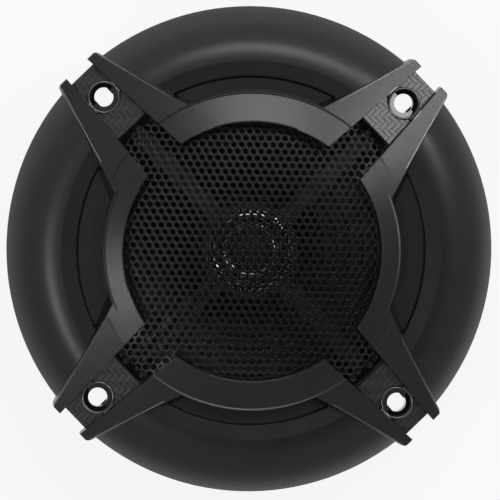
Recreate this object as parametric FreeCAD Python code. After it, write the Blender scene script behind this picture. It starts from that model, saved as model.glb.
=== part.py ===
import FreeCAD, Part
import math
import os

# Two-way car speaker with its grille. Millimetres.
# Origin: the speaker's axis, at the panel it is mounted on. +Z points out at the listener.

os.makedirs("parts", exist_ok=True)
Vec = FreeCAD.Vector
AXIS = Vec(0, 0, 1)
ARMS = {"ne": 45, "nw": 135, "sw": 225, "se": 315}
SIDES = (0, 90, 180, 270)

# ---- grille: ring and panels ----
rim_margin = 10.0          # mounting hole's centre to the panels' outer edge
rim_edge = 2.2             # upright edge of a panel, standing on the mounting plane
moulding = 1.8             # wall thickness
rib_t = 1.2
panel_w = 22.0             # panels' outer edge to the lip over the trough
lip_z = 11.5
crest_w = 5.0              # the panel is almost flat for this width, then rolls down
crest_z = 11.8
trough_z = 9.8
trough_floor = 1.4
trough_w = 4.4             # lip to the ring's outer wall beside the top and bottom panels
slim_step = 3.4            # the wall stands this much further in beside the other two
crease_in = 0.6            # wall to the crease between the ring's band and the ridges
crease_z = 16.0
opening_r = 40.4
opening_z = 18.2
edge_round = 0.4
wall_round = 0.6           # rounded top of the ring's outer wall
wall_draft = 0.35          # the wall's foot stands out by this

# ---- grille: arms ----
ridge_proud = 2.1          # the ridges' square ends stand out past the rim
ridge_end_z = 8.2
ridge_chamfer = 0.7
channel_gap = 0.22         # an eye to the channel's walls
channel_taper = 0.068      # the channel's half width grows by this for each mm inwards
flank_in = 47.0
flank_half_in = 16.8       # half the arm's width at flank_in
flank_half_out = 7.9       # the same at the ridge ends
flank_draft_in = 0.32      # the flanks widen by this for each mm down, at flank_in
flank_draft_out = 0.04     # the same at the ridge ends
channel_depth = 3.2        # face of an arm plate below the ridges
plate_in = 54.2
plate_inset = 0.3          # outer end of an arm plate, inside the rim
plate_t = 1.0
plate_gap = 0.1
web_t = 1.8

# ---- mounting holes ----
hole_circle = 133.0
hole_r = 3.0
eye_r = 5.1                # raised eye around each hole
eye_proud = 1.5            # eye's rim above the middle of the arm plate
eye_seat = 2.6             # screw seat below that rim
eye_bead_r = 0.32          # half the eye's wall; beads of this size join it to the channel's walls
eye_bead_len = 4.2
tab_slot_half = 2.65       # the basket's tabs have slots along the arms
tab_slot_len = 7.8

# ---- mesh ----
mesh_seat_w = 0.7          # edge of the sheet to the lip above it
mesh_t = 0.8
mesh_margin = 2.8          # flat margin outside the dome
mesh_z = 6.6               # underside of the flat margin
mesh_rise = 5.0
mesh_gap = 0.3             # dome to grille
retainer_w = 5.8
retainer_t = 1.5
retainer_fit = 0.12
ear_r = 2.6
stake_r = 1.1
stake_head = 0.9
stake_in = 1.2             # stakes' centres to the retainer's outer edge

# ---- basket ----
sheet = 1.2
gasket_t = 1.8
gasket_w = 6.0
gasket_fit = 0.3           # step's outside to the gasket
tab_r = 5.0
step_margin = 10.0         # mounting hole's centre to the step below the flange
ledge_z = -3.0
ledge_w = 3.7
bowl_r = 36.0              # foot of the conical wall
shelf_z = -20.5
shelf_in = 30.5
floor_z = -27.3
floor_in = 16.5
window_count = 8
window_in = 2.5            # bowl's foot to the windows
window_out = 2.2           # windows to the ledge
window_angle = 28.0
grille_room = 0.4          # basket flange to the grille's hollow

# ---- cone and its suspension ----
cone_t = 0.6
neck_z = -18.2
cap_r = 16.0
cap_rise = 5.2
cap_t = 0.4
roll_seat = 0.4            # roll's foot on the ledge
roll_w = 6.6
roll_rise = 3.2
rubber_t = 0.5
glue_w = 1.8
clamp_t = 1.6
spider_t = 0.5
spider_r = 35.4
spider_flat = 31.4
spider_collar = 15.4
spider_waves = 4
wave_h = 1.1
lead_r = 0.6
lead_room = 0.5            # round each lead in its hole
lead_anchor_r = 24.0       # leads join the cone here

# ---- motor ----
coil_bore = 12.7           # inside radius of the former
former_t = 0.15
coil_t = 0.55
coil_len = 10.0
pole_gap = 0.45
coil_gap = 0.65
top_plate_t = 4.0
top_plate_r = 32.0
magnet_r = 35.0
magnet_hole_r = 17.0
magnet_t = 11.5
yoke_t = 4.0
vent_r = 4.0
rivet_circle_r = 24.0
rivet_r = 1.6

# ---- tweeter ----
tweeter_r = 12.9
tweeter_low = -1.4
tweeter_seat_z = 5.9       # diaphragm's flange sits here
tweeter_rim_z = 8.2
flare_top = 9.6
flare_throat_r = 8.9
flare_mouth_r = 12.4
flare_lip_r = 13.3
pot_r = 8.4
pot_wall = 1.2
pot_low = 0.2              # underside of the tweeter's steel cup
pot_top = 5.2
disc_r = 5.6
disc_t = 2.6
disc_plate_r = 5.9
dome_r = 6.5
dome_rise = 2.6
dome_t = 0.2
dome_coil_t = 0.3
dome_roll = 9.4
hub_gap = 0.1
hub_wall = 2.0
hub_low = 1.4
hub_top = 7.4
bridge_w = 5.2
rail_w = 1.3
rail_top = 8.2
rail_h = 1.8               # depth of the groove between the rails
rail_foot = 0.44           # share of that depth left at the feet
bridge_web_t = 2.4
bridge_level_r = 33.0      # level to here, then down to the feet
foot_down = 4.0            # the arm is down at the flange this far inside its foot
rail_short = 5.8           # the rails stop this far inside the foot
foot_over = 1.9            # foot's inner end, inside the step
foot_len = 6.6
foot_t = 1.8
foot_half = 4.2
foot_screw_in = 2.0        # screw's centre to the foot's outer end
screw_r = 1.0
screw_gap = 0.05
screw_head_r = 1.9
screw_head_t = 1.2
wire_r = 0.4
wire_pitch = 0.98
wire_run_in = 2.1          # ledge's inner edge to the middle of the pair that runs on it
wire_hole_r = 1.15
wire_drop_angle = 259.0
wire_lift = 0.12           # wires to the groove's floor

# ---- terminals ----
board_half = 14.0
board_t = 1.6
board_inset = 2.8          # board's inner face, inside the ledge's inner edge
board_top = -8.5
board_low = -28.0
pad_half = 12.0
pad_depth = 7.0
pad_low = -20.0
blade_t = 0.8
blade_x = 9.5
blade_top = -20.0
blade_low = -37.0
positive_w = 6.3
negative_w = 4.8
lug_z = -22.4              # terminal rivets
lug_r = 1.1
board_screw_z = -15.0
can_r = 3.8
can_half = 4.8
can_z = -24.0
can_lead_r = 0.35
can_lead_out = 0.9         # a lead runs this far out of the can, then down
lead_hole_x = 4.0
lead_hole_z = -13.0

# ---- sizes that follow from the ones above ----
seat_r = hole_circle / 2
rim_r = seat_r + rim_margin
ridge_end = rim_r + ridge_proud
plate_out = rim_r - plate_inset
lip_r = rim_r - panel_w
crest_r = lip_r + crest_w
tall_ring_r = lip_r - trough_w
slim_ring_r = tall_ring_r - slim_step
crease_r = tall_ring_r - crease_in
mesh_r = lip_r - mesh_seat_w
mesh_flat_r = mesh_r - mesh_margin
retainer_in = mesh_flat_r
retainer_out = retainer_in + retainer_w
stake_circle_r = retainer_out - stake_in
step_r = seat_r - step_margin
gasket_in = step_r + sheet + gasket_fit
flange_r = gasket_in + gasket_w
flange_top = gasket_t + sheet
ledge_in = step_r - ledge_w
roll_out = ledge_in + roll_seat
cone_r = roll_out - roll_w
foot_in = step_r - foot_over
foot_out = foot_in + foot_len
foot_screw_r = foot_out - foot_screw_in
bridge_down_r = foot_in - foot_down
rail_end = foot_in - rail_short
wire_run_r = ledge_in + wire_run_in
board_y = -(ledge_in - board_inset)
mesh_top_z = mesh_z + mesh_t
retainer_z = mesh_z - retainer_t
plate_z = floor_z - sheet
magnet_z = plate_z - top_plate_t
yoke_z = magnet_z - magnet_t
back_z = yoke_z - yoke_t
former_r = coil_bore + former_t
coil_r = former_r + coil_t
pole_r = coil_bore - pole_gap
coil_z = plate_z - top_plate_t / 2
board_face = board_y - board_t
blade_face = board_face - blade_t
reach = 2 * ridge_end      # cutting tools run this far, past everything they cut


# ---- helpers ----

def rz(point):
    return Vec(point[0], 0, point[1])


def turned(start, *steps):
    """Solid of revolution. A step is an end point, or (point passed through, end point) for an arc."""
    edges = []
    here = start
    for step in steps + (start,):
        if isinstance(step[0], tuple):
            through, end = step
            edges.append(Part.Arc(rz(here), rz(through), rz(end)).toShape())
        else:
            end = step
            edges.append(Part.makeLine(rz(here), rz(end)))
        here = end
    face = Part.Face(Part.Wire(edges))
    return face.revolve(Vec(0, 0, 0), AXIS, 360)


def tube(r_out, r_in, z_low, z_high):
    outer = Part.makeCylinder(r_out, z_high - z_low, Vec(0, 0, z_low))
    return outer.cut(Part.makeCylinder(r_in, z_high - z_low + 2, Vec(0, 0, z_low - 1)))


def post(x, y, r, z_low, z_high):
    return Part.makeCylinder(r, z_high - z_low, Vec(x, y, z_low))


def hole_through(x, y, r):
    """Cutter for an upright hole right through."""
    return post(x, y, r, -reach, reach)


def pin(x, z, r, y_from, y_to):
    """Round pin along Y."""
    return Part.makeCylinder(r, y_to - y_from, Vec(x, y_from, z), Vec(0, 1, 0))


def box(x0, x1, y0, y1, z0, z1):
    return Part.makeBox(x1 - x0, y1 - y0, z1 - z0, Vec(x0, y0, z0))


def prism(points, z_low, z_high):
    corners = [Vec(x, y, z_low) for x, y in points]
    face = Part.Face(Part.makePolygon(corners + corners[:1]))
    return face.extrude(Vec(0, 0, z_high - z_low))


def side_prism(points, half):
    """Prism of an outline in u and z, spread to both sides of an arm's middle."""
    corners = [Vec(u, -half, z) for u, z in points]
    face = Part.Face(Part.makePolygon(corners + corners[:1]))
    return face.extrude(Vec(0, 2 * half, 0))


def wire_along(points, r):
    """Round wire through the points."""
    path = Part.BSplineCurve()
    path.interpolate([Vec(*p) for p in points])
    edge = path.toShape()
    start = edge.valueAt(edge.FirstParameter)
    tangent = edge.tangentAt(edge.FirstParameter)
    section = Part.Wire(Part.makeCircle(r, start, tangent))
    return Part.Wire(edge).makePipeShell([section], True, True)


def rotated(shape, angle):
    copy = shape.copy()
    copy.rotate(Vec(0, 0, 0), AXIS, angle)
    return copy


def around(shape, angles):
    return [rotated(shape, angle) for angle in angles]


def drill(shape, holes):
    for hole in holes:
        shape = shape.cut(hole)
    return shape


def on_circle(r, angle):
    return r * math.cos(math.radians(angle)), r * math.sin(math.radians(angle))


def line_at(x, x0, y0, x1, y1):
    return y0 + (x - x0) * (y1 - y0) / (x1 - x0)


def channel_half(u):
    return eye_r + channel_gap + channel_taper * (seat_r - u)


def flank_half(u):
    return line_at(u, flank_in, flank_half_in, ridge_end, flank_half_out)


def flank_draft(u):
    return line_at(u, flank_in, flank_draft_in, ridge_end, flank_draft_out)


def ridge_z(r):
    return line_at(r, crease_r, crease_z, ridge_end, ridge_end_z)


def band_z(r):
    return line_at(r, opening_r, opening_z, crease_r, crease_z)


def dome_at(r, edge_r, rise):
    """Height of a spherical dome over its edge."""
    ball = (edge_r ** 2 + rise ** 2) / (2 * rise)
    return math.sqrt(ball ** 2 - r ** 2) - (ball - rise)


def mesh_rise_at(r):
    return dome_at(r, mesh_flat_r, mesh_rise)


def cone_z(r):
    """Cone's front face."""
    return line_at(r, former_r, neck_z, cone_r, ledge_z)


def wedge(half_width, u_in, u_out, z_low, z_high):
    """Upright prism along an arm, with the half width given by a function of u."""
    points = [
        (u_in, -half_width(u_in)),
        (u_out, -half_width(u_out)),
        (u_out, half_width(u_out)),
        (u_in, half_width(u_in)),
    ]
    return prism(points, z_low, z_high)


def channel(spare=0.0):
    return wedge(lambda u: channel_half(u) + spare, opening_r / 2, ridge_end + 5, -reach, reach)


# ---- grille ----

def under_tops(drop, low):
    """Everything from low up to the ring's band and the ridges, lowered by drop."""
    r_end = ridge_end + 3
    return turned(
        (opening_r + drop, low),
        (r_end, low),
        (r_end, ridge_z(r_end) - drop),
        (crease_r, crease_z - drop),
        (opening_r + drop, band_z(opening_r + drop) - drop),
    )


def arm_plan(inset, rise):
    """Outline of one arm in a plane parallel to its ridges, with chamfered outer corners."""
    start = opening_r - 4
    end = ridge_end - inset
    half_start = flank_half(start) - inset - flank_draft(start) * rise
    half_end = flank_half(end) - inset - flank_draft(end) * rise
    c = ridge_chamfer
    points = [
        (start, -half_start),
        (end - c, -half_end),
        (end, -half_end + c),
        (end, half_end - c),
        (end - c, half_end),
        (start, half_start),
    ]
    corners = [Vec(u, v, ridge_z(u) + rise) for u, v in points]
    return Part.makePolygon(corners + corners[:1])


def arm_block(inset):
    """One arm with its ridges and channel as a block with drafted flanks, before its top is cut."""
    return Part.makeLoft([arm_plan(inset, -crease_z - 10), arm_plan(inset, 10)], True, True)


def arm_hollow():
    """Space under one arm's two ridges."""
    hollow = arm_block(moulding).common(under_tops(moulding, -reach))
    return hollow.cut(channel(moulding))


def flared_panels():
    w = moulding
    mid_r = (rim_r + crest_r) / 2 + 1.6
    mid_z = rim_edge + (crest_z - rim_edge) * 0.72
    return turned(
        (rim_r, 0),
        (rim_r, rim_edge),
        ((mid_r, mid_z), (crest_r, crest_z)),
        (lip_r + edge_round, lip_z),
        (lip_r, lip_z - edge_round),
        (lip_r - 0.3, trough_z),
        (slim_ring_r - w, trough_z),
        (slim_ring_r - w, trough_z - trough_floor),
        (lip_r + 1.0, trough_z - trough_floor),
        (lip_r + 1.8, lip_z - w),
        (crest_r - 0.2, crest_z - w),
        ((mid_r - w * 0.75, mid_z - w), (rim_r - w, rim_edge - 1.0)),
        (rim_r - w, 0),
    )


def ring_band(outer_r):
    """Ring around the opening, open below. It falls outwards, past the crease if it is wide enough."""
    w = moulding
    low = trough_z - trough_floor
    wall_z = min(band_z(outer_r), ridge_z(outer_r))
    round_r = outer_r - wall_round
    round_z = band_z(round_r)
    skirt_z = mesh_top_z + mesh_rise_at(opening_r) + mesh_gap
    return turned(
        (opening_r, skirt_z),
        (opening_r, opening_z - edge_round),
        (opening_r + edge_round, band_z(opening_r + edge_round)),
        (round_r, round_z),
        ((outer_r - wall_round * 0.25, wall_z - wall_round * 0.15), (outer_r, wall_z - wall_round)),
        (outer_r + wall_draft, low),
        (outer_r - w, low),
        (outer_r - w, wall_z - w),
        (opening_r + w, band_z(opening_r + w) - w),
        (opening_r + w, skirt_z),
    )


def mesh_room():
    """Space kept for the dome of the mesh, its margin and the ring that clamps it."""
    top = mesh_top_z + mesh_gap
    return turned(
        (0, -reach),
        (retainer_out + grille_room, -reach),
        (retainer_out + grille_room, mesh_top_z),
        (mesh_flat_r, mesh_top_z),
        ((mesh_flat_r / 2, top + mesh_rise_at(mesh_flat_r / 2)), (0, top + mesh_rise)),
    )


def eye_top():
    return ridge_z(seat_r) - channel_depth + eye_proud


def arm_slab(top_drop, bottom_drop, half_width, u_in, u_out):
    """Sloping slab in a channel, parallel to the ridges."""
    points = [
        (u_in, ridge_z(u_in) - bottom_drop),
        (u_out, ridge_z(u_out) - bottom_drop),
        (u_out, ridge_z(u_out) - top_drop),
        (u_in, ridge_z(u_in) - top_drop),
    ]
    return wedge(half_width, u_in, u_out, -reach, reach).common(side_prism(points, reach))


def arm_web():
    """Channel's floor with the column of the mounting hole and the eye on top."""
    top_drop = channel_depth + plate_t
    web = arm_slab(top_drop, top_drop + web_t, lambda u: channel_half(u) + 0.5, plate_in - 0.4, plate_out)
    seat = eye_top() - eye_seat
    rim_z = eye_top() - eye_bead_r
    column = post(seat_r, 0, eye_r, flange_top, rim_z)
    column = column.cut(post(seat_r, 0, eye_r - 2 * eye_bead_r, seat, reach))
    rim = Part.makeTorus(eye_r - eye_bead_r, eye_bead_r, Vec(seat_r, 0, rim_z))
    beads = []
    for side in (-1, 1):
        start = Vec(seat_r - eye_bead_len / 2, side * eye_r, rim_z)
        beads.append(Part.makeCylinder(eye_bead_r, eye_bead_len, start, Vec(1, 0, 0)))
    web = web.multiFuse([column, rim] + beads)
    return web.cut(hole_through(seat_r, 0, hole_r))


def mesh_seat():
    """Land under the troughs that the mesh's margin is clamped against."""
    return tube(mesh_r, mesh_flat_r + 0.4, mesh_top_z, trough_z - trough_floor + 0.2)


def mesh_stakes():
    """Stakes under the troughs, headed over below the retainer's ears."""
    x, y = on_circle(stake_circle_r, 0)
    low = retainer_z - stake_head
    shank = post(x, y, stake_r, low, trough_z - 0.4)
    head = post(x, y, stake_r + 0.9, low, retainer_z)
    return around(shank.fuse(head), SIDES)


def panel_ribs():
    """Radial ribs under the panels."""
    rib_in = flange_r + grille_room + 0.8
    rib_out = rim_r - 1.0
    rib = box(rib_in, rib_out, -rib_t / 2, rib_t / 2, 0.3, reach)
    under = turned(
        (rib_in - 1, 0),
        (rib_out, 0),
        (rib_out, rim_edge),
        (crest_r + 7, crest_z - moulding - 1.0),
        (rib_in - 1, crest_z - 1.0),
    )
    angles = [side + turn for side in SIDES for turn in (-20, 0, 20)]
    return around(rib.common(under), angles)


def grille_bezel():
    tall = ring_band(tall_ring_r)
    slim = ring_band(slim_ring_r)
    east = prism([(0, 0), (reach, reach), (reach, -reach)], -reach, reach)
    sides = east.fuse(rotated(east, 180))
    ring = tall.cut(sides).fuse(slim.common(sides))
    arms = around(arm_block(0).common(under_tops(0, 0)), ARMS.values())
    body = flared_panels().multiFuse([ring, mesh_seat()] + panel_ribs() + arms)
    for hollow in around(arm_hollow(), ARMS.values()):
        body = body.cut(hollow)
    for gap in around(channel(), ARMS.values()):
        body = body.cut(gap)
    body = body.cut(mesh_room())
    body = body.cut(Part.makeCylinder(flange_r + grille_room, flange_top + grille_room))
    webs = around(arm_web(), ARMS.values())
    return body.multiFuse(webs + mesh_stakes()).removeSplitter()


def arm_plate():
    low = channel_depth + plate_t
    plate = arm_slab(channel_depth, low, lambda u: channel_half(u) - plate_gap, plate_in, plate_out)
    return plate.cut(hole_through(seat_r, 0, eye_r + plate_gap))


def grille_mesh():
    half_r = mesh_flat_r / 2
    return turned(
        (0, mesh_z + mesh_rise),
        ((half_r, mesh_z + mesh_rise_at(half_r)), (mesh_flat_r, mesh_z)),
        (mesh_r, mesh_z),
        (mesh_r, mesh_top_z),
        (mesh_flat_r, mesh_top_z),
        ((half_r, mesh_top_z + mesh_rise_at(half_r)), (0, mesh_top_z + mesh_rise)),
    )


def mesh_retainer():
    """Ring with four ears, stepped to hold the margin of the mesh."""
    edge_r = mesh_r + retainer_fit
    ring = turned(
        (retainer_in, retainer_z),
        (retainer_out, retainer_z),
        (retainer_out, mesh_top_z),
        (edge_r, mesh_top_z),
        (edge_r, mesh_z),
        (retainer_in, mesh_z),
    )
    x, y = on_circle(stake_circle_r, 0)
    ears = around(post(x, y, ear_r, retainer_z, mesh_z), SIDES)
    ring = ring.multiFuse(ears)
    return drill(ring, around(hole_through(x, y, stake_r + screw_gap), SIDES)).removeSplitter()


# ---- basket ----

def tabs(r, z_low, z_high):
    """Four mounting tabs on a flange."""
    tab = post(seat_r, 0, r, z_low, z_high).fuse(box(gasket_in, seat_r, -r, r, z_low, z_high))
    return around(tab, ARMS.values())


def tab_slot():
    """Cutter for a slot along an arm, which lets the speaker fit neighbouring hole circles."""
    half = tab_slot_len / 2 - tab_slot_half
    ends = [hole_through(seat_r + side * half, 0, tab_slot_half) for side in (-1, 1)]
    middle = box(seat_r - half, seat_r + half, -tab_slot_half, tab_slot_half, -reach, reach)
    return middle.multiFuse(ends)


def wire_hole():
    """Hole through the ledge for both tweeter wires."""
    x, y = on_circle(wire_run_r, wire_drop_angle)
    return post(x, y, wire_hole_r, ledge_z - reach, 0)


def basket_bowl():
    t = sheet
    return turned(
        (flange_r, gasket_t),
        (flange_r, flange_top),
        (step_r, flange_top),
        (step_r, ledge_z),
        (ledge_in, ledge_z),
        (bowl_r, shelf_z),
        (shelf_in, shelf_z),
        (shelf_in, floor_z),
        (floor_in, floor_z),
        (floor_in, floor_z - t),
        (shelf_in + t, floor_z - t),
        (shelf_in + t, shelf_z - t),
        (bowl_r + 0.5, shelf_z - t),
        (ledge_in + 0.5, ledge_z - t),
        (step_r + t, ledge_z - t),
        (step_r + t, gasket_t),
    )


def basket_inside():
    return turned(
        (0, floor_z),
        (shelf_in, floor_z),
        (shelf_in, shelf_z),
        (bowl_r, shelf_z),
        (ledge_in, ledge_z),
        (0, ledge_z),
    )


def windows():
    gap = tube(ledge_in - window_out, bowl_r + window_in, shelf_z - 5, ledge_z - sheet - 0.4)
    edge = math.tan(math.radians(window_angle / 2)) * reach
    sector = prism([(0, 0), (reach, edge), (reach, -edge)], -reach, reach)
    step = 360 / window_count
    return around(gap.common(sector), [step * (i + 0.5) for i in range(window_count)])


def stiffening_ribs():
    """Fin down the back of each strut."""
    points = [
        (ledge_in - 1.0, ledge_z - sheet),
        (ledge_in + 2.2, ledge_z - sheet),
        (bowl_r + 1.5, shelf_z - sheet),
        (bowl_r - 1.5, shelf_z - sheet),
    ]
    step = 360 / window_count
    angles = [step * i for i in range(window_count) if step * i != 270]
    return around(side_prism(points, 1.0).cut(basket_inside()), angles)


def basket():
    pad = box(-pad_half, pad_half, board_y, board_y + pad_depth, pad_low, board_top)
    body = drill(basket_bowl(), windows())
    body = body.multiFuse(tabs(tab_r, gasket_t, flange_top) + stiffening_ribs() + [pad.cut(basket_inside())])
    x, y = on_circle(foot_screw_r, 0)
    rivet_x, rivet_y = on_circle(rivet_circle_r, 0)
    holes = around(tab_slot(), ARMS.values())
    holes += around(hole_through(x, y, screw_r + screw_gap), ARMS.values())
    holes += around(hole_through(rivet_x, rivet_y, rivet_r + screw_gap), ARMS.values())
    holes.append(wire_hole())
    for side in (-1, 1):
        holes.append(pin(side * lead_hole_x, lead_hole_z, lead_r + lead_room, board_y - 1, -bowl_r))
        holes.append(pin(side * blade_x, board_screw_z, screw_r + screw_gap, board_y - 1, board_y + 4))
    return drill(body, holes).removeSplitter()


def mounting_gasket():
    ring = tube(flange_r, gasket_in, 0, gasket_t).multiFuse(tabs(tab_r, 0, gasket_t))
    ring = ring.cut(hole_through(0, 0, gasket_in))
    return drill(ring, around(hole_through(seat_r, 0, hole_r + 0.3), ARMS.values())).removeSplitter()


# ---- cone and its suspension ----

def cone():
    neck_r = former_r + screw_gap
    return turned(
        (neck_r, cone_z(neck_r)),
        (cone_r, ledge_z),
        (cone_r, ledge_z - cone_t),
        (neck_r, cone_z(neck_r) - cone_t),
    )


def dust_cap():
    low = cone_z(cap_r)
    in_r = cap_r - cap_t
    in_low = cone_z(in_r)
    in_rise = low + cap_rise - cap_t - in_low
    return turned(
        (0, in_low + in_rise),
        ((in_r / 2, in_low + dome_at(in_r / 2, in_r, in_rise)), (in_r, in_low)),
        (cap_r, low),
        ((cap_r / 2, low + dome_at(cap_r / 2, cap_r, cap_rise)), (0, low + cap_rise)),
    )


def surround():
    t = rubber_t
    low = ledge_z
    mid_r = (roll_out + cone_r) / 2
    glue_r = cone_r - glue_w
    out_r = step_r - 0.2
    edge = turned(
        (out_r, low),
        (out_r, low + t),
        (roll_out, low + t),
        ((mid_r, low + t + roll_rise), (cone_r, low + t)),
        (glue_r, cone_z(glue_r) + t),
        (glue_r, cone_z(glue_r)),
        (cone_r, low),
        ((mid_r, low + roll_rise), (roll_out, low)),
    )
    return edge.cut(wire_hole())


def surround_ring():
    low = ledge_z + rubber_t
    ring = turned(
        (roll_out + 0.3, low),
        (step_r - 0.2, low),
        (step_r - 0.2, low + clamp_t),
        (roll_out + 0.7, low + clamp_t),
        (roll_out + 0.3, low + clamp_t - 0.4),
    )
    return ring.cut(wire_hole())


def spider():
    """Centring disc pressed into waves between its collar and its flat edge."""
    low = shelf_z
    high = shelf_z + spider_t
    half = (spider_flat - spider_collar) / (2 * spider_waves)
    upper = []
    lower = []
    for i in range(2 * spider_waves):
        lift = wave_h if i % 2 == 0 else -wave_h
        r = spider_flat - half * i
        upper.append(((r - half / 2, high + lift), (r - half, high)))
        lower.insert(0, ((r - half / 2, low + lift), (r, low)))
    collar_r = former_r + screw_gap
    return turned(
        (spider_r, low),
        (spider_r, high),
        (spider_flat, high),
        *upper,
        (collar_r, high),
        (collar_r, low),
        (spider_collar, low),
        *lower,
    )


def voice_coil_former():
    return tube(former_r, coil_bore, coil_z - coil_len / 2 - 0.8, neck_z + 0.5)


def voice_coil():
    return tube(coil_r, former_r, coil_z - coil_len / 2, coil_z + coil_len / 2)


def tinsel_leads():
    leads = []
    slack_z = lead_hole_z - 3.2
    for side in (-1, 1):
        x = side * lead_hole_x
        path = [
            (side * (blade_x - 1.9), blade_face - lead_r - 0.05, blade_top - 0.2),
            (side * (blade_x - 3.8), blade_face - lead_r - 0.3, blade_top + 2.2),
            (x * 1.05, blade_face - lead_r, lead_hole_z - 2.6),
            (x, board_face - 0.3, lead_hole_z - 0.3),
            (x, board_y + 2, lead_hole_z),
            (x, board_y + 8, lead_hole_z),
            (x, -(lead_anchor_r + 11.5), slack_z),
            (x, -(lead_anchor_r + 4.5), slack_z + 0.3),
            (x, -lead_anchor_r, cone_z(lead_anchor_r) - cone_t - lead_r - 0.2),
        ]
        leads.append(wire_along(path, lead_r))
    return Part.makeCompound(leads)


# ---- motor ----

def top_plate():
    hole = coil_r + coil_gap
    plate = turned(
        (hole, magnet_z),
        (top_plate_r - 0.5, magnet_z),
        (top_plate_r, magnet_z + 0.5),
        (top_plate_r, plate_z - 0.5),
        (top_plate_r - 0.5, plate_z),
        (hole, plate_z),
    )
    x, y = on_circle(rivet_circle_r, 0)
    pocket = post(x, y, rivet_r + screw_gap, plate_z - 2.6, 0)
    return drill(plate, around(pocket, ARMS.values()))


def magnet():
    c = 0.9
    return turned(
        (magnet_hole_r, yoke_z),
        (magnet_r - c, yoke_z),
        (magnet_r, yoke_z + c),
        (magnet_r, magnet_z - c),
        (magnet_r - c, magnet_z),
        (magnet_hole_r, magnet_z),
    )


def yoke():
    """Back plate and pole in one, with a vent that flares at the back."""
    return turned(
        (vent_r, back_z + 2.5),
        (vent_r + 2.0, back_z),
        (top_plate_r - 0.8, back_z),
        (top_plate_r, back_z + 0.8),
        (top_plate_r, yoke_z),
        (pole_r, yoke_z),
        (pole_r, plate_z - 0.6),
        (pole_r - 0.6, plate_z),
        (vent_r, plate_z),
    )


def plate_rivets():
    x, y = on_circle(rivet_circle_r, 0)
    shank = post(x, y, rivet_r, plate_z - 2.5, floor_z + 0.2)
    head_r = rivet_r + 1.2
    head = turned((0, 0), (head_r, 0), ((head_r / 2, dome_at(head_r / 2, head_r, 1.1)), (0, 1.1)))
    head.translate(Vec(x, y, floor_z))
    return Part.makeCompound(around(shank.fuse(head), ARMS.values()))


# ---- tweeter ----

def tweeter_body():
    bore = pot_r + 0.1
    return turned(
        (0, tweeter_low),
        (tweeter_r - 1.0, tweeter_low),
        (tweeter_r, tweeter_low + 1.0),
        (tweeter_r, tweeter_rim_z),
        (tweeter_r - 1.4, tweeter_rim_z),
        (tweeter_r - 1.4, tweeter_seat_z),
        (bore, tweeter_seat_z),
        (bore, pot_low),
        (0, pot_low),
    )


def tweeter_yoke():
    wall_r = pot_r - pot_wall
    inside_z = pot_low + pot_wall
    return turned(
        (0, pot_low),
        (pot_r, pot_low),
        (pot_r, pot_top),
        (wall_r, pot_top),
        (wall_r, inside_z),
        (0, inside_z),
    )


def tweeter_magnet():
    return Part.makeCylinder(disc_r, disc_t, Vec(0, 0, pot_low + pot_wall))


def tweeter_plate():
    low = pot_low + pot_wall + disc_t
    return Part.makeCylinder(disc_plate_r, pot_top - low, Vec(0, 0, low))


def tweeter_dome():
    """Soft dome with a short skirt that carries the coil."""
    low = tweeter_seat_z + dome_t
    inner = dome_r - dome_t
    half = dome_r / 2
    return turned(
        (inner, pot_top - 2.2),
        (dome_r, pot_top - 2.2),
        (dome_r, low),
        ((half, low + dome_at(half, dome_r, dome_rise)), (0, low + dome_rise)),
        (0, low + dome_rise - dome_t),
        ((half, low - dome_t + dome_at(half, inner, dome_rise)), (inner, low - dome_t)),
    )


def tweeter_coil():
    return tube(dome_r + dome_coil_t, dome_r, pot_top - 2.0, pot_top - 0.2)


def tweeter_surround():
    low = tweeter_seat_z
    t = dome_t
    inner = dome_r + 0.02
    mid = (inner + dome_roll) / 2
    return turned(
        (tweeter_r - 1.6, low),
        (tweeter_r - 1.6, low + t),
        (dome_roll, low + t),
        ((mid, low + t + 0.9), (inner, low + t)),
        (inner, low),
        ((mid, low + 0.9), (dome_roll, low)),
    )


def tweeter_flare():
    low = tweeter_seat_z + dome_t
    neck_r = tweeter_r - 1.6
    return turned(
        (dome_roll + 0.3, low),
        (neck_r, low),
        (neck_r, tweeter_rim_z),
        (flare_lip_r, tweeter_rim_z),
        (flare_lip_r, flare_top - 0.7),
        ((flare_lip_r - 0.25, flare_top - 0.15), (flare_mouth_r, flare_top)),
        ((flare_throat_r + 1.9, flare_top - 1.0), (dome_roll + 0.3, low + 0.5)),
    )


def bridge_side(top_drop):
    """Side outline of an arm: level, then down to the foot."""
    high = rail_top - top_drop
    low = rail_top - rail_h - bridge_web_t
    foot_drop = top_drop * rail_foot
    return [
        (tweeter_r + hub_gap + 0.4, low),
        (bridge_level_r, low),
        (bridge_down_r, flange_top),
        (foot_out, flange_top),
        (foot_out, flange_top + foot_t - foot_drop),
        (bridge_down_r, flange_top + foot_t - foot_drop),
        (bridge_level_r, high),
        (tweeter_r + hub_gap + 0.4, high),
    ]


def bridge_arm():
    """Arm with a rail on each side and a groove for wires between them."""
    arm = side_prism(bridge_side(0), bridge_w / 2)
    groove = side_prism(bridge_side(rail_h), reach).common(box(0, foot_in, -reach, reach, -reach, reach))
    inside = box(tweeter_r, foot_in, -bridge_w / 2 + rail_w, bridge_w / 2 - rail_w, -reach, reach)
    open_end = box(rail_end, foot_in, -reach, reach, -reach, reach)
    arm = arm.cut(inside.fuse(open_end)).fuse(arm.common(groove))
    foot = box(foot_in, foot_out, -foot_half, foot_half, flange_top, flange_top + foot_t)
    corners = [e for e in foot.Edges if abs(e.tangentAt(e.FirstParameter).z) > 0.9]
    foot = foot.makeFillet(1.6, corners)
    x, y = on_circle(foot_screw_r, 0)
    return arm.fuse(foot).cut(hole_through(x, y, screw_r + screw_gap))


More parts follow.
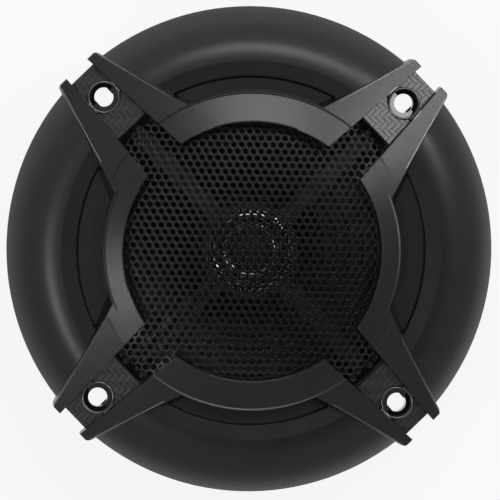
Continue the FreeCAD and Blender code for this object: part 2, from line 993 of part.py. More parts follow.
def tweeter_bridge():
    bore = tweeter_r + hub_gap
    hub = turned(
        (bore, hub_low),
        (bore + hub_wall - 0.5, hub_low),
        (bore + hub_wall, hub_low + 0.5),
        (bore + hub_wall, hub_top - 0.5),
        (bore + hub_wall - 0.5, hub_top),
        (bore, hub_top),
    )
    arms = around(bridge_arm(), ARMS.values())
    return hub.multiFuse(arms).removeSplitter()


def pan_screw(shank_low, head_low):
    """Pan-head screw at the origin with a cross recess."""
    shank = post(0, 0, screw_r, shank_low, head_low)
    crown = screw_head_t - 0.5
    half = screw_head_r / 2
    head = turned(
        (0, head_low),
        (screw_head_r, head_low),
        (screw_head_r, head_low + 0.5),
        ((half, head_low + 0.5 + dome_at(half, screw_head_r, crown)), (0, head_low + screw_head_t)),
    )
    high = head_low + screw_head_t + 1
    slot = box(-1.1, 1.1, -0.25, 0.25, head_low + 0.5, high)
    return shank.fuse(head).cut(slot.fuse(rotated(slot, 90)))


def bridge_screws():
    screw = pan_screw(gasket_t, flange_top + foot_t)
    screw.translate(Vec(foot_screw_r, 0, 0))
    return Part.makeCompound(around(screw, ARMS.values()))


def groove_floor(u):
    """Height of the groove's floor in a bridge arm."""
    level = rail_top - rail_h
    foot = flange_top + foot_t - rail_h * rail_foot
    if u < bridge_level_r:
        return level
    return line_at(min(u, bridge_down_r), bridge_level_r, level, bridge_down_r, foot)


def tweeter_wires():
    """Two wires: in an arm's groove, round the ledge, through it, and down the board."""
    start = ARMS["sw"]
    middle = (tweeter_r + bridge_level_r) / 2 + 1
    slope = (bridge_level_r + rail_end) / 2
    along = [tweeter_r + 2.8, middle, bridge_level_r - 0.5, slope, rail_end - 1.3]
    foot_z = groove_floor(rail_end) + wire_r
    run_z = ledge_z + rubber_t + clamp_t + wire_r + 0.25
    run_in = [(11.5, run_z + 1.5), (18, run_z + 0.3), (25, run_z + 0.1), (31.5, run_z + 0.05)]
    over = board_face - wire_r
    to_can = [
        (-6.2, over - 1.0, -9.8),
        (-2.6, over - 0.6, -12.2),
        (-2.3, over - 0.4, -16.5),
        (-3.7, over - 0.4, -21.0),
        (-can_half - can_lead_out, over - 0.3, can_z + 0.8),
    ]
    to_blade = [
        (-12.2, over - 1.2, -10.5),
        (-12.7, over - 0.6, -14.5),
        (-12.2, over - 0.5, -18.0),
        (-blade_x - 1.1, over - 0.3, blade_top + 0.5),
    ]
    wires = []
    for side, down in ((0.5, to_can), (-0.5, to_blade)):
        apart = side * wire_pitch * math.sqrt(0.5)
        run_r = wire_run_r - side * wire_pitch
        path = []
        for u in along:
            x, y = on_circle(u, start)
            path.append((x + apart, y - apart, groove_floor(u) + wire_r + wire_lift))
        path.append(on_circle(rail_end + 2.4 - side, start + 1.9) + (foot_z,))
        path.append(on_circle(rail_end + 3.8 - side, start + 5.6) + (foot_z - 0.4,))
        path += [on_circle(run_r, start + turn) + (z,) for turn, z in run_in]
        path.append(on_circle(run_r, wire_drop_angle - 0.5) + (run_z - 0.35,))
        path.append(on_circle(run_r, wire_drop_angle) + (run_z - 1.6,))
        path.append(on_circle(run_r, wire_drop_angle) + (ledge_z - 2.2,))
        wires.append(wire_along(path + down, wire_r))
    return Part.makeCompound(wires)


# ---- terminals ----

def terminal_board():
    board = box(-board_half, board_half, board_face, board_y, board_low, board_top)
    corners = [e for e in board.Edges if abs(e.tangentAt(e.FirstParameter).y) > 0.9]
    board = board.makeFillet(1.5, corners)
    holes = []
    for side in (-1, 1):
        holes.append(pin(side * blade_x, lug_z, lug_r + screw_gap, -reach, 0))
        holes.append(pin(side * blade_x, board_screw_z, screw_r + screw_gap, -reach, 0))
        holes.append(pin(side * lead_hole_x, lead_hole_z, lead_r + lead_room, -reach, 0))
        holes.append(pin(side * (can_half + can_lead_out), can_z, can_lead_r + 0.1, -reach, 0))
    return drill(board, holes)


def terminal(x, width):
    """Push-on blade riveted to the board, bevelled at its tip."""
    half = width / 2
    bevel = 1.2
    points = [
        (x - half, blade_top),
        (x - half, blade_low + bevel),
        (x - half + bevel, blade_low),
        (x + half - bevel, blade_low),
        (x + half, blade_low + bevel),
        (x + half, blade_top),
    ]
    corners = [Vec(px, blade_face, pz) for px, pz in points]
    blade = Part.Face(Part.makePolygon(corners + corners[:1])).extrude(Vec(0, blade_t, 0))
    holes = [pin(x, blade_low + 4, 0.9, -reach, 0), pin(x, lug_z, lug_r + screw_gap, -reach, 0)]
    return drill(blade, holes)


def terminal_rivets():
    rivets = []
    for side in (-1, 1):
        x = side * blade_x
        rivet = pin(x, lug_z, lug_r, blade_face, board_y)
        rivet = rivet.fuse(pin(x, lug_z, lug_r + 0.7, blade_face - 0.7, blade_face))
        rivets.append(rivet.fuse(pin(x, lug_z, lug_r + 0.7, board_y, board_y + 0.6)))
    return Part.makeCompound(rivets)


def board_screws():
    screws = []
    for side in (-1, 1):
        screw = pan_screw(-board_t - 3.5, 0)
        screw.rotate(Vec(0, 0, 0), Vec(1, 0, 0), 90)
        screw.translate(Vec(side * blade_x, board_face, board_screw_z))
        screws.append(screw)
    return Part.makeCompound(screws)


def crossover_capacitor():
    """Small axial can behind the board, with a rolled groove near one end."""
    can = turned(
        (0, -can_half),
        (can_r - 0.5, -can_half),
        (can_r, -can_half + 0.5),
        (can_r, can_half - 2.0),
        ((can_r - 0.5, can_half - 1.5), (can_r, can_half - 1.0)),
        (can_r, can_half - 0.5),
        (can_r - 0.5, can_half),
        (0, can_half),
    )
    can.rotate(Vec(0, 0, 0), Vec(0, 1, 0), 90)
    can.translate(Vec(0, board_y + can_r, can_z))
    return can


def capacitor_leads():
    leads = []
    for side in (-1, 1):
        x = side * can_half
        y = board_y + can_r
        corner = Vec(x + side * can_lead_out, y, can_z)
        out = Part.makeCylinder(can_lead_r, can_lead_out, Vec(x, y, can_z), Vec(side, 0, 0))
        through = Part.makeCylinder(can_lead_r, can_r + board_t + 0.6, corner, Vec(0, -1, 0))
        bend = Part.makeSphere(can_lead_r, corner)
        leads.append(out.multiFuse([through, bend]).removeSplitter())
    return Part.makeCompound(leads)


NODES = {
    "grille_bezel": grille_bezel,
    "grille_mesh": grille_mesh,
    "mesh_retainer": mesh_retainer,
    "basket": basket,
    "mounting_gasket": mounting_gasket,
    "cone": cone,
    "dust_cap": dust_cap,
    "surround": surround,
    "surround_ring": surround_ring,
    "spider": spider,
    "voice_coil_former": voice_coil_former,
    "voice_coil": voice_coil,
    "tinsel_leads": tinsel_leads,
    "top_plate": top_plate,
    "magnet": magnet,
    "yoke": yoke,
    "plate_rivets": plate_rivets,
    "tweeter_body": tweeter_body,
    "tweeter_yoke": tweeter_yoke,
    "tweeter_magnet": tweeter_magnet,
    "tweeter_plate": tweeter_plate,
    "tweeter_dome": tweeter_dome,
    "tweeter_coil": tweeter_coil,
    "tweeter_surround": tweeter_surround,
    "tweeter_flare": tweeter_flare,
    "tweeter_bridge": tweeter_bridge,
    "bridge_screws": bridge_screws,
    "tweeter_wires": tweeter_wires,
    "terminal_board": terminal_board,
    "terminal_positive": lambda: terminal(blade_x, positive_w),
    "terminal_negative": lambda: terminal(-blade_x, negative_w),
    "terminal_rivets": terminal_rivets,
    "board_screws": board_screws,
    "crossover_capacitor": crossover_capacitor,
    "capacitor_leads": capacitor_leads,
}
for name, angle in ARMS.items():
    NODES["arm_plate_" + name] = lambda angle=angle: rotated(arm_plate(), angle)

for node, make in NODES.items():
    shape = make()
    print(node, len(shape.Solids), round(shape.Volume, 1), shape.isValid())
    shape.exportStep("parts/" + node + ".step")
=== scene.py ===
# %% [markdown]
# # A two-way car speaker with its grille
# The solids come from CAD: every rigid piece already has its size and place, in metres.
# Blender adds what a solid does not carry: perforations in the mesh, the soft surround and spider
# round the cone, twisted leads, glue and solder, and the finish of each surface.

# %% Frame
import math
from functools import partial

import bmesh
import bpy
from mathutils import Matrix, Vector, noise


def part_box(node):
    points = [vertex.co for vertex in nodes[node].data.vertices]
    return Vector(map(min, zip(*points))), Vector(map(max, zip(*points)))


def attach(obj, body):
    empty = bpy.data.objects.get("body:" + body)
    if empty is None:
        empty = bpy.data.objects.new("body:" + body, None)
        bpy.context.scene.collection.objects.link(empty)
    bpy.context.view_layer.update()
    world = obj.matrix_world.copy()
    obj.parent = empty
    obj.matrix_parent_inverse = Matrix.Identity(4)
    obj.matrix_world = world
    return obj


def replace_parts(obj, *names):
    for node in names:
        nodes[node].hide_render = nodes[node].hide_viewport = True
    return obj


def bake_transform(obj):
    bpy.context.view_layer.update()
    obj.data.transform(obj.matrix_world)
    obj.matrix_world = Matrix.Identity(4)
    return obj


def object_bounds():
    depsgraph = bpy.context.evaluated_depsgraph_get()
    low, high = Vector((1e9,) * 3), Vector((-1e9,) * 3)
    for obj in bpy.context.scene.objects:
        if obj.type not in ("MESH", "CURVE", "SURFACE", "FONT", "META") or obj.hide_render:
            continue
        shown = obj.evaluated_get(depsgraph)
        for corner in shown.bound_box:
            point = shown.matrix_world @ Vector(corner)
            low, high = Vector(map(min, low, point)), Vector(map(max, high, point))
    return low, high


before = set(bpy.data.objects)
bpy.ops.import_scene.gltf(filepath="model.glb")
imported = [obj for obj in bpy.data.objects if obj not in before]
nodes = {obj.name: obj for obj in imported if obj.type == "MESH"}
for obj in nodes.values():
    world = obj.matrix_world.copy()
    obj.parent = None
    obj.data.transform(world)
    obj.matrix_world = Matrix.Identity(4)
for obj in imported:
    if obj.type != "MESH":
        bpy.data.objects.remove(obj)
cad_box = [[float(v) for v in corner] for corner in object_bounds()]
MM = 0.001
print("CAD box in mm:", [[round(v / MM, 1) for v in corner] for corner in cad_box])

# %% [markdown]
# ## Small helpers
# Colours are written as they look on a screen (sRGB hex) and turned to linear light here, once.
# One function adds any node. Other nodes can be given as its values, and are linked. Each tree
# binds that function to itself as add.

# %% Helpers for colours and nodes
def linear(hex_colour):
    channels = [int(hex_colour[i:i + 2], 16) / 255 for i in (1, 3, 5)]
    return [c / 12.92 if c <= 0.04045 else ((c + 0.055) / 1.055) ** 2.4 for c in channels] + [1.0]


def feed(node, values):
    """Fill a node's inputs. values is a list in the order of the inputs in use, or maps their names
    or numbers. A socket is linked, a node is linked by its first output in use, a colour may be hex."""
    inputs = [socket for socket in node.inputs if socket.enabled]
    for key, value in values.items() if isinstance(values, dict) else enumerate(values):
        socket = inputs[key] if isinstance(key, int) else next(one for one in inputs if one.name == key)
        if isinstance(value, bpy.types.Node):
            value = next(one for one in value.outputs if one.enabled)
        if isinstance(value, bpy.types.NodeSocket):
            node.id_data.links.new(value, socket)
        else:
            socket.default_value = linear(value) if isinstance(value, str) else value


def add_node(tree, kind, inputs=(), **settings):
    """Add a node and fill its inputs. kind is its type, or in capitals the operation of a Math node;
    settings are its properties."""
    if kind.isupper():
        kind, settings["operation"] = "ShaderNodeMath", kind
    made = tree.nodes.new(kind)
    for key, value in settings.items():
        setattr(made, key, value)
    feed(made, inputs)
    return made


def start_material(name):
    """A new material, the function that adds to it, the coordinates in millimetres, and the shader."""
    material = bpy.data.materials.new(name)
    material.use_nodes = True
    material.node_tree.nodes.clear()
    add = partial(add_node, material.node_tree)
    place = add("ShaderNodeTexCoord")
    in_mm = add("ShaderNodeVectorMath", [place.outputs["Object"], 1 / MM], operation="SCALE")
    shader = add("ShaderNodeBsdfPrincipled")
    add("ShaderNodeOutputMaterial", {"Surface": shader})
    return material, add, in_mm, shader


def finish(shader, textures, **values):
    """Fill the shader's inputs: textures by name, and constants as keywords."""
    feed(shader, {**textures, **{name.replace("_", " "): value for name, value in values.items()}})


def mottle(add, place, size_mm, low, high, detail=3.0):
    """Two colours in soft clouds of a given size: no real surface has one even colour."""
    cloud = add("ShaderNodeTexNoise", {"Vector": place, "Scale": 1 / size_mm, "Detail": detail})
    spread = add("ShaderNodeMapRange", {"Value": cloud, "From Min": 0.35, "From Max": 0.65})
    mix = add("ShaderNodeMix", [spread, low, high], data_type="RGBA")
    return mix, spread


def grain_bump(add, place, size_mm, depth_mm, detail=2.0, **more):
    """Sand-like relief: size of the grain, and its depth."""
    grain = add("ShaderNodeTexNoise", {"Vector": place, "Scale": 1 / size_mm, "Detail": detail,
                                       "Roughness": 0.6})
    bump = add("ShaderNodeBump", {"Height": grain, "Distance": depth_mm * MM, **more})
    return grain, bump


def paint(material, *names):
    """Give CAD nodes a material: their shape stays, and only the slot is filled."""
    for name in names:
        mesh = nodes[name].data
        mesh.materials.clear()
        mesh.materials.append(material)


def plain_object(name, mesh, material=None):
    """An object at the origin, unturned, with its place in its mesh."""
    made = bpy.data.objects.new(name, mesh)
    bpy.context.scene.collection.objects.link(made)
    if material:
        mesh.materials.clear()
        mesh.materials.append(material)
    return made


def placed(name, mesh, material, body):
    """A piece with its material, which moves with a body."""
    piece = plain_object(name, mesh, material)
    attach(piece, body)
    return piece


def direction(angle_deg):
    """Level unit vector at an angle round the speaker's axis."""
    angle = math.radians(angle_deg)
    return Vector((math.cos(angle), math.sin(angle), 0))


UP = Vector((0, 0, 1))

# %% [markdown]
# ## Sections joined into closed forms
# Many small pieces below are one section repeated along a path: a ring of glue, a slice of the
# surround, a rounded edge. Each is given as rows of points in millimetres, one row round each
# section, and one function joins the rows and closes the ends.

# %% Helpers for meshes
def mesh_from(name, bm, sharp_deg=None, smooth=True):
    """Turn a bmesh into a mesh, smooth except where faces meet at more than sharp_deg."""
    mesh = bpy.data.meshes.new(name)
    bm.to_mesh(mesh)
    bm.free()
    if smooth:
        mesh.shade_smooth()
    if sharp_deg:
        mesh.set_sharp_from_angle(angle=math.radians(sharp_deg))
    return mesh


def lofted(name, rows, closed=False, strip_ends=False, sharp_deg=50):
    """Join rows of points. closed joins the last row to the first; strip_ends closes a thin bent
    section with faces across it, and otherwise one face closes each end."""
    bm = bmesh.new()
    rings = [[bm.verts.new([c * MM for c in point]) for point in row] for row in rows]
    count = len(rings[0])
    for near, far in zip(rings, rings[1:] + rings[:1] if closed else rings[1:]):
        for k in range(count):
            bm.faces.new((near[k], near[(k + 1) % count], far[(k + 1) % count], far[k]))
    for ring in () if closed else (rings[0], rings[-1]):
        if strip_ends:
            for k in range(count // 2 - 1):
                bm.faces.new((ring[k], ring[k + 1], ring[count - 2 - k], ring[count - 1 - k]))
        else:
            bm.faces.new(ring)
    bmesh.ops.recalc_face_normals(bm, faces=bm.faces)
    return mesh_from(name, bm, sharp_deg)


def turned(section, angles_deg):
    """A section (radius, height) repeated at each angle round the axis."""
    return [[direction(angle) * r + UP * z for r, z in section] for angle in angles_deg]


def on_line(x, x0, x1, y0, y1):
    """The value at x on the straight line from y0 at x0 to y1 at x1."""
    return y0 + (y1 - y0) * (x - x0) / (x1 - x0)


def span(first, last, steps):
    """Evenly spaced values from first to last, both ends included."""
    return [first + (last - first) * i / steps for i in range(steps + 1)]


# %% [markdown]
# ## Moulded ABS
# The grille is injection-moulded ABS, dyed black. The tool is spark-eroded where the ring and the
# ridges form, so they come out with a sandy grain that spreads a highlight, while the flared panels
# are blasted finer and shine more. The two finishes meet where the ridges stand over the panels,
# so the height below the ridges' cone picks between them. A CAD edge is infinitely sharp and a
# moulded one never is: the Bevel node rounds the light at each edge by a third of a millimetre.

# %% Moulded ABS
CREASE_R, CREASE_Z = 49.5, 16.0      # the ridges fall from this circle
RIDGE_END_R, RIDGE_END_Z = 78.6, 8.2
SEAT_R = 66.5                        # circle of the mounting holes
EYE_XY, EYE_REACH = SEAT_R * math.sqrt(0.5), 5.75      # a hole's place in its quarter; its eye's outside


def moulded_abs():
    material, add, place, shader = start_material("moulded_black_abs")
    axes = add("ShaderNodeSeparateXYZ", [place]).outputs
    squares = [add("MULTIPLY", [axis, axis]) for axis in axes[:2]]
    radius = add("SQRT", [add("ADD", squares)])
    ridge = add("ShaderNodeMapRange", {"Value": radius, "From Min": CREASE_R, "From Max": RIDGE_END_R,
                                       "To Min": CREASE_Z, "To Max": RIDGE_END_Z}, clamp=False)
    below = add("SUBTRACT", [ridge, axes[2]])
    sandy = add("ShaderNodeMapRange", {"Value": below, "From Min": 0.9, "From Max": 0.5})
    rounded = add("ShaderNodeBevel", {"Radius": 0.35 * MM}, samples=4)
    # The eyes round the holes are formed by polished pins and have rounded rims of their own.
    quarter = add("ShaderNodeVectorMath", [place], operation="ABSOLUTE")
    flat = add("ShaderNodeVectorMath", [quarter, (1.0, 1.0, 0.0)], operation="MULTIPLY")
    to_eye = add("ShaderNodeVectorMath", [flat, (EYE_XY, EYE_XY, 0.0)], operation="DISTANCE")
    in_eye = add("LESS_THAN", [to_eye, EYE_REACH])
    modelled = add("ShaderNodeNewGeometry").outputs["Normal"]
    edges = add("ShaderNodeMix", [in_eye, rounded, modelled], data_type="VECTOR")
    # Real grain is near 0.1 mm; it is drawn at 0.35 mm so that it can be seen.
    depth = add("ShaderNodeMapRange", {"Value": sandy, "To Min": 0.10, "To Max": 0.55})
    depth = add("MULTIPLY", [depth, add("SUBTRACT", [1.0, in_eye])])
    fine, normal = grain_bump(add, place, 0.35, 0.05, Strength=depth, Normal=edges)
    tone, _ = mottle(add, place, 9.0, "#0c0c0d", "#111112")
    smooth = add("ShaderNodeMapRange", {"Value": fine, "To Min": 0.28, "To Max": 0.36})
    coarse = add("ShaderNodeMapRange", {"Value": fine, "To Min": 0.17, "To Max": 0.29})
    moulded = add("ShaderNodeMix", [sandy, smooth, coarse], data_type="FLOAT")
    rough = add("ShaderNodeMix", [in_eye, moulded, 0.07], data_type="FLOAT")
    finish(shader, {"Base Color": tone, "Roughness": rough, "Normal": normal}, IOR=1.5)
    return material


abs_black = moulded_abs()
paint(abs_black, "grille_bezel", "mesh_retainer", "surround_ring")
print("made", abs_black.name)

# %% [markdown]
# ## Carbon-look film on the arm plates
# The four plates carry a printed film under clear lacquer that imitates 2x2 twill carbon cloth.
# In that weave each bundle of fibres (a tow) passes over two and under two, one step further in
# each row, which gives the diagonal ribs. The arms lie at 45 degrees, so turning the coordinates
# by 45 degrees lays the tows along and across every arm. Integer steps of the two coordinates
# tell which tow is on top; the fraction inside a step rounds the tow.

# %% Carbon-look film
TOW = 1.5                            # width of one tow, mm


def printed_twill():
    material, add, place, shader = start_material("printed_carbon_twill")
    weave = add("ShaderNodeVectorRotate", {"Vector": place, "Angle": math.radians(-45)},
                 rotation_type="Z_AXIS")
    cells = add("ShaderNodeVectorMath", [weave, 1 / TOW], operation="SCALE")
    along, across, _ = add("ShaderNodeSeparateXYZ", [cells]).outputs
    column, row = (add("FLOOR", [axis]) for axis in (along, across))
    step = add("FLOORED_MODULO", [add("ADD", [column, row]), 4.0])
    warp_up = add("LESS_THAN", [step, 2.0])
    inside_warp = add("SUBTRACT", [across, row])
    inside_weft = add("SUBTRACT", [along, column])
    inside = add("ShaderNodeMix", [warp_up, inside_weft, inside_warp], data_type="FLOAT")
    off_middle = add("ABSOLUTE", [add("SUBTRACT", [inside, 0.5])])
    crown = add("SUBTRACT", [1.0, add("POWER", [add("MULTIPLY", [off_middle, 2.0]), 3.0])])
    # Fibres are 7 micrometres thick; the print draws bundles of them about 0.12 mm wide.
    fibre_warp = add("ShaderNodeMapping", {"Vector": weave, "Scale": (0.3, 8.0, 1.0)})
    fibre_weft = add("ShaderNodeMapping", {"Vector": weave, "Scale": (8.0, 0.3, 1.0)})
    lay = add("ShaderNodeMix", [warp_up, fibre_weft, fibre_warp], data_type="VECTOR")
    fibres = add("ShaderNodeTexNoise", {"Vector": lay, "Scale": 1.0, "Detail": 2.0})
    shade = add("MULTIPLY", [crown, add("ADD", [fibres, 0.35])])
    weft_grey = add("ShaderNodeMix", [shade, "#0a0a0b", "#141416"], data_type="RGBA")
    warp_grey = add("ShaderNodeMix", [shade, "#0e0e0f", "#29292c"], data_type="RGBA")
    print_grey = add("ShaderNodeMix", [warp_up, weft_grey, warp_grey], data_type="RGBA")
    relief = add("ShaderNodeBump", {"Height": crown, "Strength": 0.7, "Distance": 0.12 * MM})
    finish(shader, {"Base Color": print_grey, "Normal": relief}, Roughness=0.30,
           Coat_Weight=0.25, Coat_Roughness=0.10)
    return material


twill = printed_twill()
arm_plates = [name for name in nodes if name.startswith("arm_plate_")]
paint(twill, *arm_plates)
print("made", twill.name, "on", len(arm_plates), "plates")

# %% [markdown]
# ## Perforated mesh
# The sheet over the cone is 0.8 mm steel, punched with a hexagonal pattern of holes, domed in a
# press and then enamelled gloss black. The enamel rounds the edge of every hole, and that rounded
# lip is what glints. Modelling it cuts real holes, so the cone and the tweeter show through.
# Geometry Nodes lay a circle on each point of a hexagonal lattice, fill the sheet around the
# circles, sink a lip and a wall into each hole, and bend the flat result over the dome last.
# The tree works in millimetres because very short edges would be lost at a scale of metres.

# %% Running a geometry tree
def new_tree(name, geometry_in=False, **inputs):
    """A geometry tree with named numbers for its sizes: the tree, what adds to it, and its sizes."""
    tree = bpy.data.node_groups.new(name, "GeometryNodeTree")
    tree.interface.new_socket("Geometry", in_out="OUTPUT", socket_type="NodeSocketGeometry")
    if geometry_in:
        tree.interface.new_socket("Geometry", in_out="INPUT", socket_type="NodeSocketGeometry")
    for key, value in inputs.items():
        kind = "NodeSocketInt" if isinstance(value, int) else "NodeSocketFloat"
        tree.interface.new_socket(key, in_out="INPUT", socket_type=kind).default_value = value
    add = partial(add_node, tree)
    return tree, add, add("NodeGroupInput").outputs


def close_tree(add, geometry, material):
    """Every tree ends the same way: real geometry instead of instances, and its material."""
    real = add("GeometryNodeRealizeInstances", [geometry])
    coloured = add("GeometryNodeSetMaterial", {0: real, "Material": material})
    add("NodeGroupOutput", [coloured])


def grow(name, tree, start=None, **sizes):
    """Run a tree and keep the result as a plain mesh object."""
    maker = bpy.data.objects.new(name + "_maker", start or bpy.data.meshes.new(name + "_start"))
    bpy.context.scene.collection.objects.link(maker)
    modifier = maker.modifiers.new("grow", "NODES")
    modifier.node_group = tree
    for item in tree.interface.items_tree:
        if item.in_out == "INPUT" and item.name in sizes:
            modifier[item.identifier] = sizes[item.name]
    bpy.context.view_layer.update()
    evaluated = maker.evaluated_get(bpy.context.evaluated_depsgraph_get())
    mesh = bpy.data.meshes.new_from_object(evaluated)
    mesh.name = name
    bpy.data.objects.remove(maker)
    return plain_object(name, mesh)


# %% Gloss enamel for the mesh
def gloss_enamel():
    """Baked enamel flows before it sets: smooth, a little wavy, with a hard reflection."""
    material, add, place, shader = start_material("baked_gloss_enamel")
    tone, cloud = mottle(add, place, 5.0, "#050506", "#09090b")
    _, wave = grain_bump(add, place, 0.9, 0.008)
    rough = add("ShaderNodeMapRange", {"Value": cloud, "To Min": 0.07, "To Max": 0.13})
    finish(shader, {"Base Color": tone, "Roughness": rough, "Normal": wave}, IOR=1.52)
    return material


enamel = gloss_enamel()

# %% Tree of the perforated sheet
RIM_POINTS = 180                     # points round the sheet's edge
LAST_HOLE_EDGE = 1.3                 # the outermost holes' edges lie at most this far outside the field
WELD = 0.004                         # points this close are one
SHARP = math.radians(70)             # the punch leaves a sharp edge only between the lip and the wall


def perforated_sheet(material):
    tree, add, sizes = new_tree("perforated_sheet", pitch=2.47, hole=0.875, lip=0.17, lip_sink=0.09,
                                shoulder=0.05, thickness=0.8, field=52.2, outer=53.8, dome=51.0,
                                rise=5.0, columns=44, rows=50, sides=12)
    row_pitch = add("MULTIPLY", [sizes["pitch"], math.sqrt(3) / 2])
    width = add("MULTIPLY", [sizes["pitch"], add("SUBTRACT", [sizes["columns"], 1.0])])
    height = add("MULTIPLY", [row_pitch, add("SUBTRACT", [sizes["rows"], 1.0])])
    grid = add("GeometryNodeMeshGrid", [width, height, sizes["columns"], sizes["rows"]])
    here = add("GeometryNodeInputPosition")
    x, y, _ = add("ShaderNodeSeparateXYZ", [here]).outputs
    from_first = add("ADD", [y, add("DIVIDE", [height, 2.0])])
    row = add("ROUND", [add("DIVIDE", [from_first, row_pitch])])
    odd = add("FLOORED_MODULO", [row, 2.0])
    half_pitch = add("MULTIPLY", [sizes["pitch"], 0.5])
    shift = add("ShaderNodeCombineXYZ", [add("MULTIPLY", [odd, half_pitch])])
    lattice = add("GeometryNodeSetPosition", {"Geometry": grid, "Offset": shift})
    radius = add("ShaderNodeVectorMath", [here], operation="LENGTH")
    outside = add("GREATER_THAN", [radius, sizes["field"]])
    centres = add("GeometryNodeDeleteGeometry", [lattice, outside], domain="POINT")

    def fill(hole_radius):
        """The sheet as flat triangles, with a hole of this radius at each centre."""
        ring = add("GeometryNodeCurvePrimitiveCircle",
                   {"Resolution": sizes["sides"], "Radius": hole_radius})
        rings = add("GeometryNodeInstanceOnPoints", {"Points": centres, "Instance": ring})
        real = add("GeometryNodeRealizeInstances", [rings])
        rim = add("GeometryNodeCurvePrimitiveCircle", {"Resolution": RIM_POINTS, "Radius": sizes["outer"]})
        outline = add("GeometryNodeJoinGeometry", [real])
        feed(outline, [rim])
        return add("GeometryNodeFillCurve", [outline])

    def sink(mesh, selection, ratio, drop):
        """Pull a copy of the selected edges toward the nearest hole's centre, and down."""
        made = add("GeometryNodeExtrudeMesh",
                   {"Mesh": mesh, "Selection": selection, "Offset Scale": 0.0}, mode="EDGES")
        nearest = add("GeometryNodeSampleNearest", [centres, here], domain="POINT")
        centre = add("GeometryNodeSampleIndex", [centres, here, nearest], data_type="FLOAT_VECTOR",
                     domain="POINT")
        arm = add("ShaderNodeVectorMath", [here, centre], operation="SUBTRACT")
        flat_arm = add("ShaderNodeVectorMath", [arm, (1.0, 1.0, 0.0)], operation="MULTIPLY")
        scaled = add("ShaderNodeVectorMath", [flat_arm, ratio], operation="SCALE")
        spot = add("ShaderNodeVectorMath", [centre, scaled], operation="ADD")
        fall = add("ShaderNodeCombineXYZ", {"Z": drop})
        spot = add("ShaderNodeVectorMath", [spot, fall], operation="ADD")
        top = made.outputs["Top"]
        return add("GeometryNodeSetPosition", [made, top, spot]), top

    lip_radius = add("ADD", [sizes["hole"], sizes["lip"]])
    open_edge = add("COMPARE", [add("GeometryNodeInputMeshEdgeNeighbors"), 1.0, 0.1])
    in_field = add("LESS_THAN", [radius, add("ADD", [sizes["field"], LAST_HOLE_EDGE])])
    hole_edge = add("MULTIPLY", [open_edge, in_field])
    ratio = add("DIVIDE", [sizes["hole"], lip_radius])
    low = add("MULTIPLY", [sizes["thickness"], -1.0])
    flat_radius = add("ADD", [lip_radius, sizes["shoulder"]])
    level, level_edge = sink(fill(flat_radius), hole_edge, add("DIVIDE", [lip_radius, flat_radius]), 0.0)
    lipped, lip_edge = sink(level, level_edge, ratio, add("MULTIPLY", [sizes["lip_sink"], -1.0]))
    walled, _ = sink(lipped, lip_edge, 1.0, low)
    rim_edge = add("MULTIPLY", [open_edge, add("SUBTRACT", [1.0, in_field])])
    fall = add("ShaderNodeCombineXYZ", {"Z": low})
    rimmed = add("GeometryNodeExtrudeMesh", [walled, rim_edge, fall, 1.0], mode="EDGES")
    back = add("GeometryNodeFlipFaces", [fill(sizes["hole"])])
    back = add("GeometryNodeSetPosition", {0: back, "Offset": fall})
    whole = add("GeometryNodeJoinGeometry", [rimmed])
    feed(whole, [back])
    welded = add("GeometryNodeMergeByDistance", {"Geometry": whole, "Distance": WELD})

    # The dome is a cap of a ball: the ball's radius comes from the cap's radius and rise.
    squares = add("ADD", [add("POWER", [sizes[key], 2.0]) for key in ("dome", "rise")])
    ball = add("DIVIDE", [squares, add("MULTIPLY", [sizes["rise"], 2.0])])
    x, y, _ = add("ShaderNodeSeparateXYZ", [here]).outputs
    from_axis = add("SQRT", [add("ADD", [add("POWER", [axis, 2.0]) for axis in (x, y)])])
    clipped = add("MINIMUM", [from_axis, sizes["dome"]])
    squares = [add("POWER", [length, 2.0]) for length in (ball, clipped)]
    chord = add("SQRT", [add("SUBTRACT", squares)])
    lift = add("SUBTRACT", [chord, add("SUBTRACT", [ball, sizes["rise"]])])
    raised = add("ShaderNodeCombineXYZ", {"Z": lift})
    domed = add("GeometryNodeSetPosition", {0: welded, "Offset": raised})
    sharp = add("GREATER_THAN", [add("GeometryNodeInputMeshEdgeAngle"), SHARP])
    smooth = add("GeometryNodeSetShadeSmooth", {0: domed, "Shade Smooth": True}, domain="FACE")
    creased = add("GeometryNodeSetShadeSmooth", {0: smooth, "Selection": sharp,
                                                 "Shade Smooth": False}, domain="EDGE")
    close_tree(add, creased, material)
    return tree


# %% The mesh in its place
mesh_low, mesh_high = (Vector(corner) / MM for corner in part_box("grille_mesh"))
SHEET = 0.8
mesh_sizes = {"outer": mesh_high.x, "thickness": SHEET, "rise": mesh_high.z - mesh_low.z - SHEET}
grille_mesh = grow("perforated_mesh", perforated_sheet(enamel), **mesh_sizes)
grille_mesh.data.transform(Matrix.Translation((0, 0, (mesh_low.z + SHEET) * MM)) @ Matrix.Scale(MM, 4))
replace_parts(grille_mesh, "grille_mesh")
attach(grille_mesh, "frame")
print("perforated mesh:", len(grille_mesh.data.polygons), "faces,",
      [round(v / MM, 2) for v in grille_mesh.dimensions], "mm")

# %% [markdown]
# ## Finishes that share one recipe
# Most of the other pieces have a skin that is mottled in colour, uneven in gloss and grained in
# relief. One function makes such a material from the size of its clouds and of its grain, in
# millimetres. The Bevel node, compared with the true normal, finds the edges, where handling
# polishes or wears a finish. Each call below says what the real surface gives the eye.

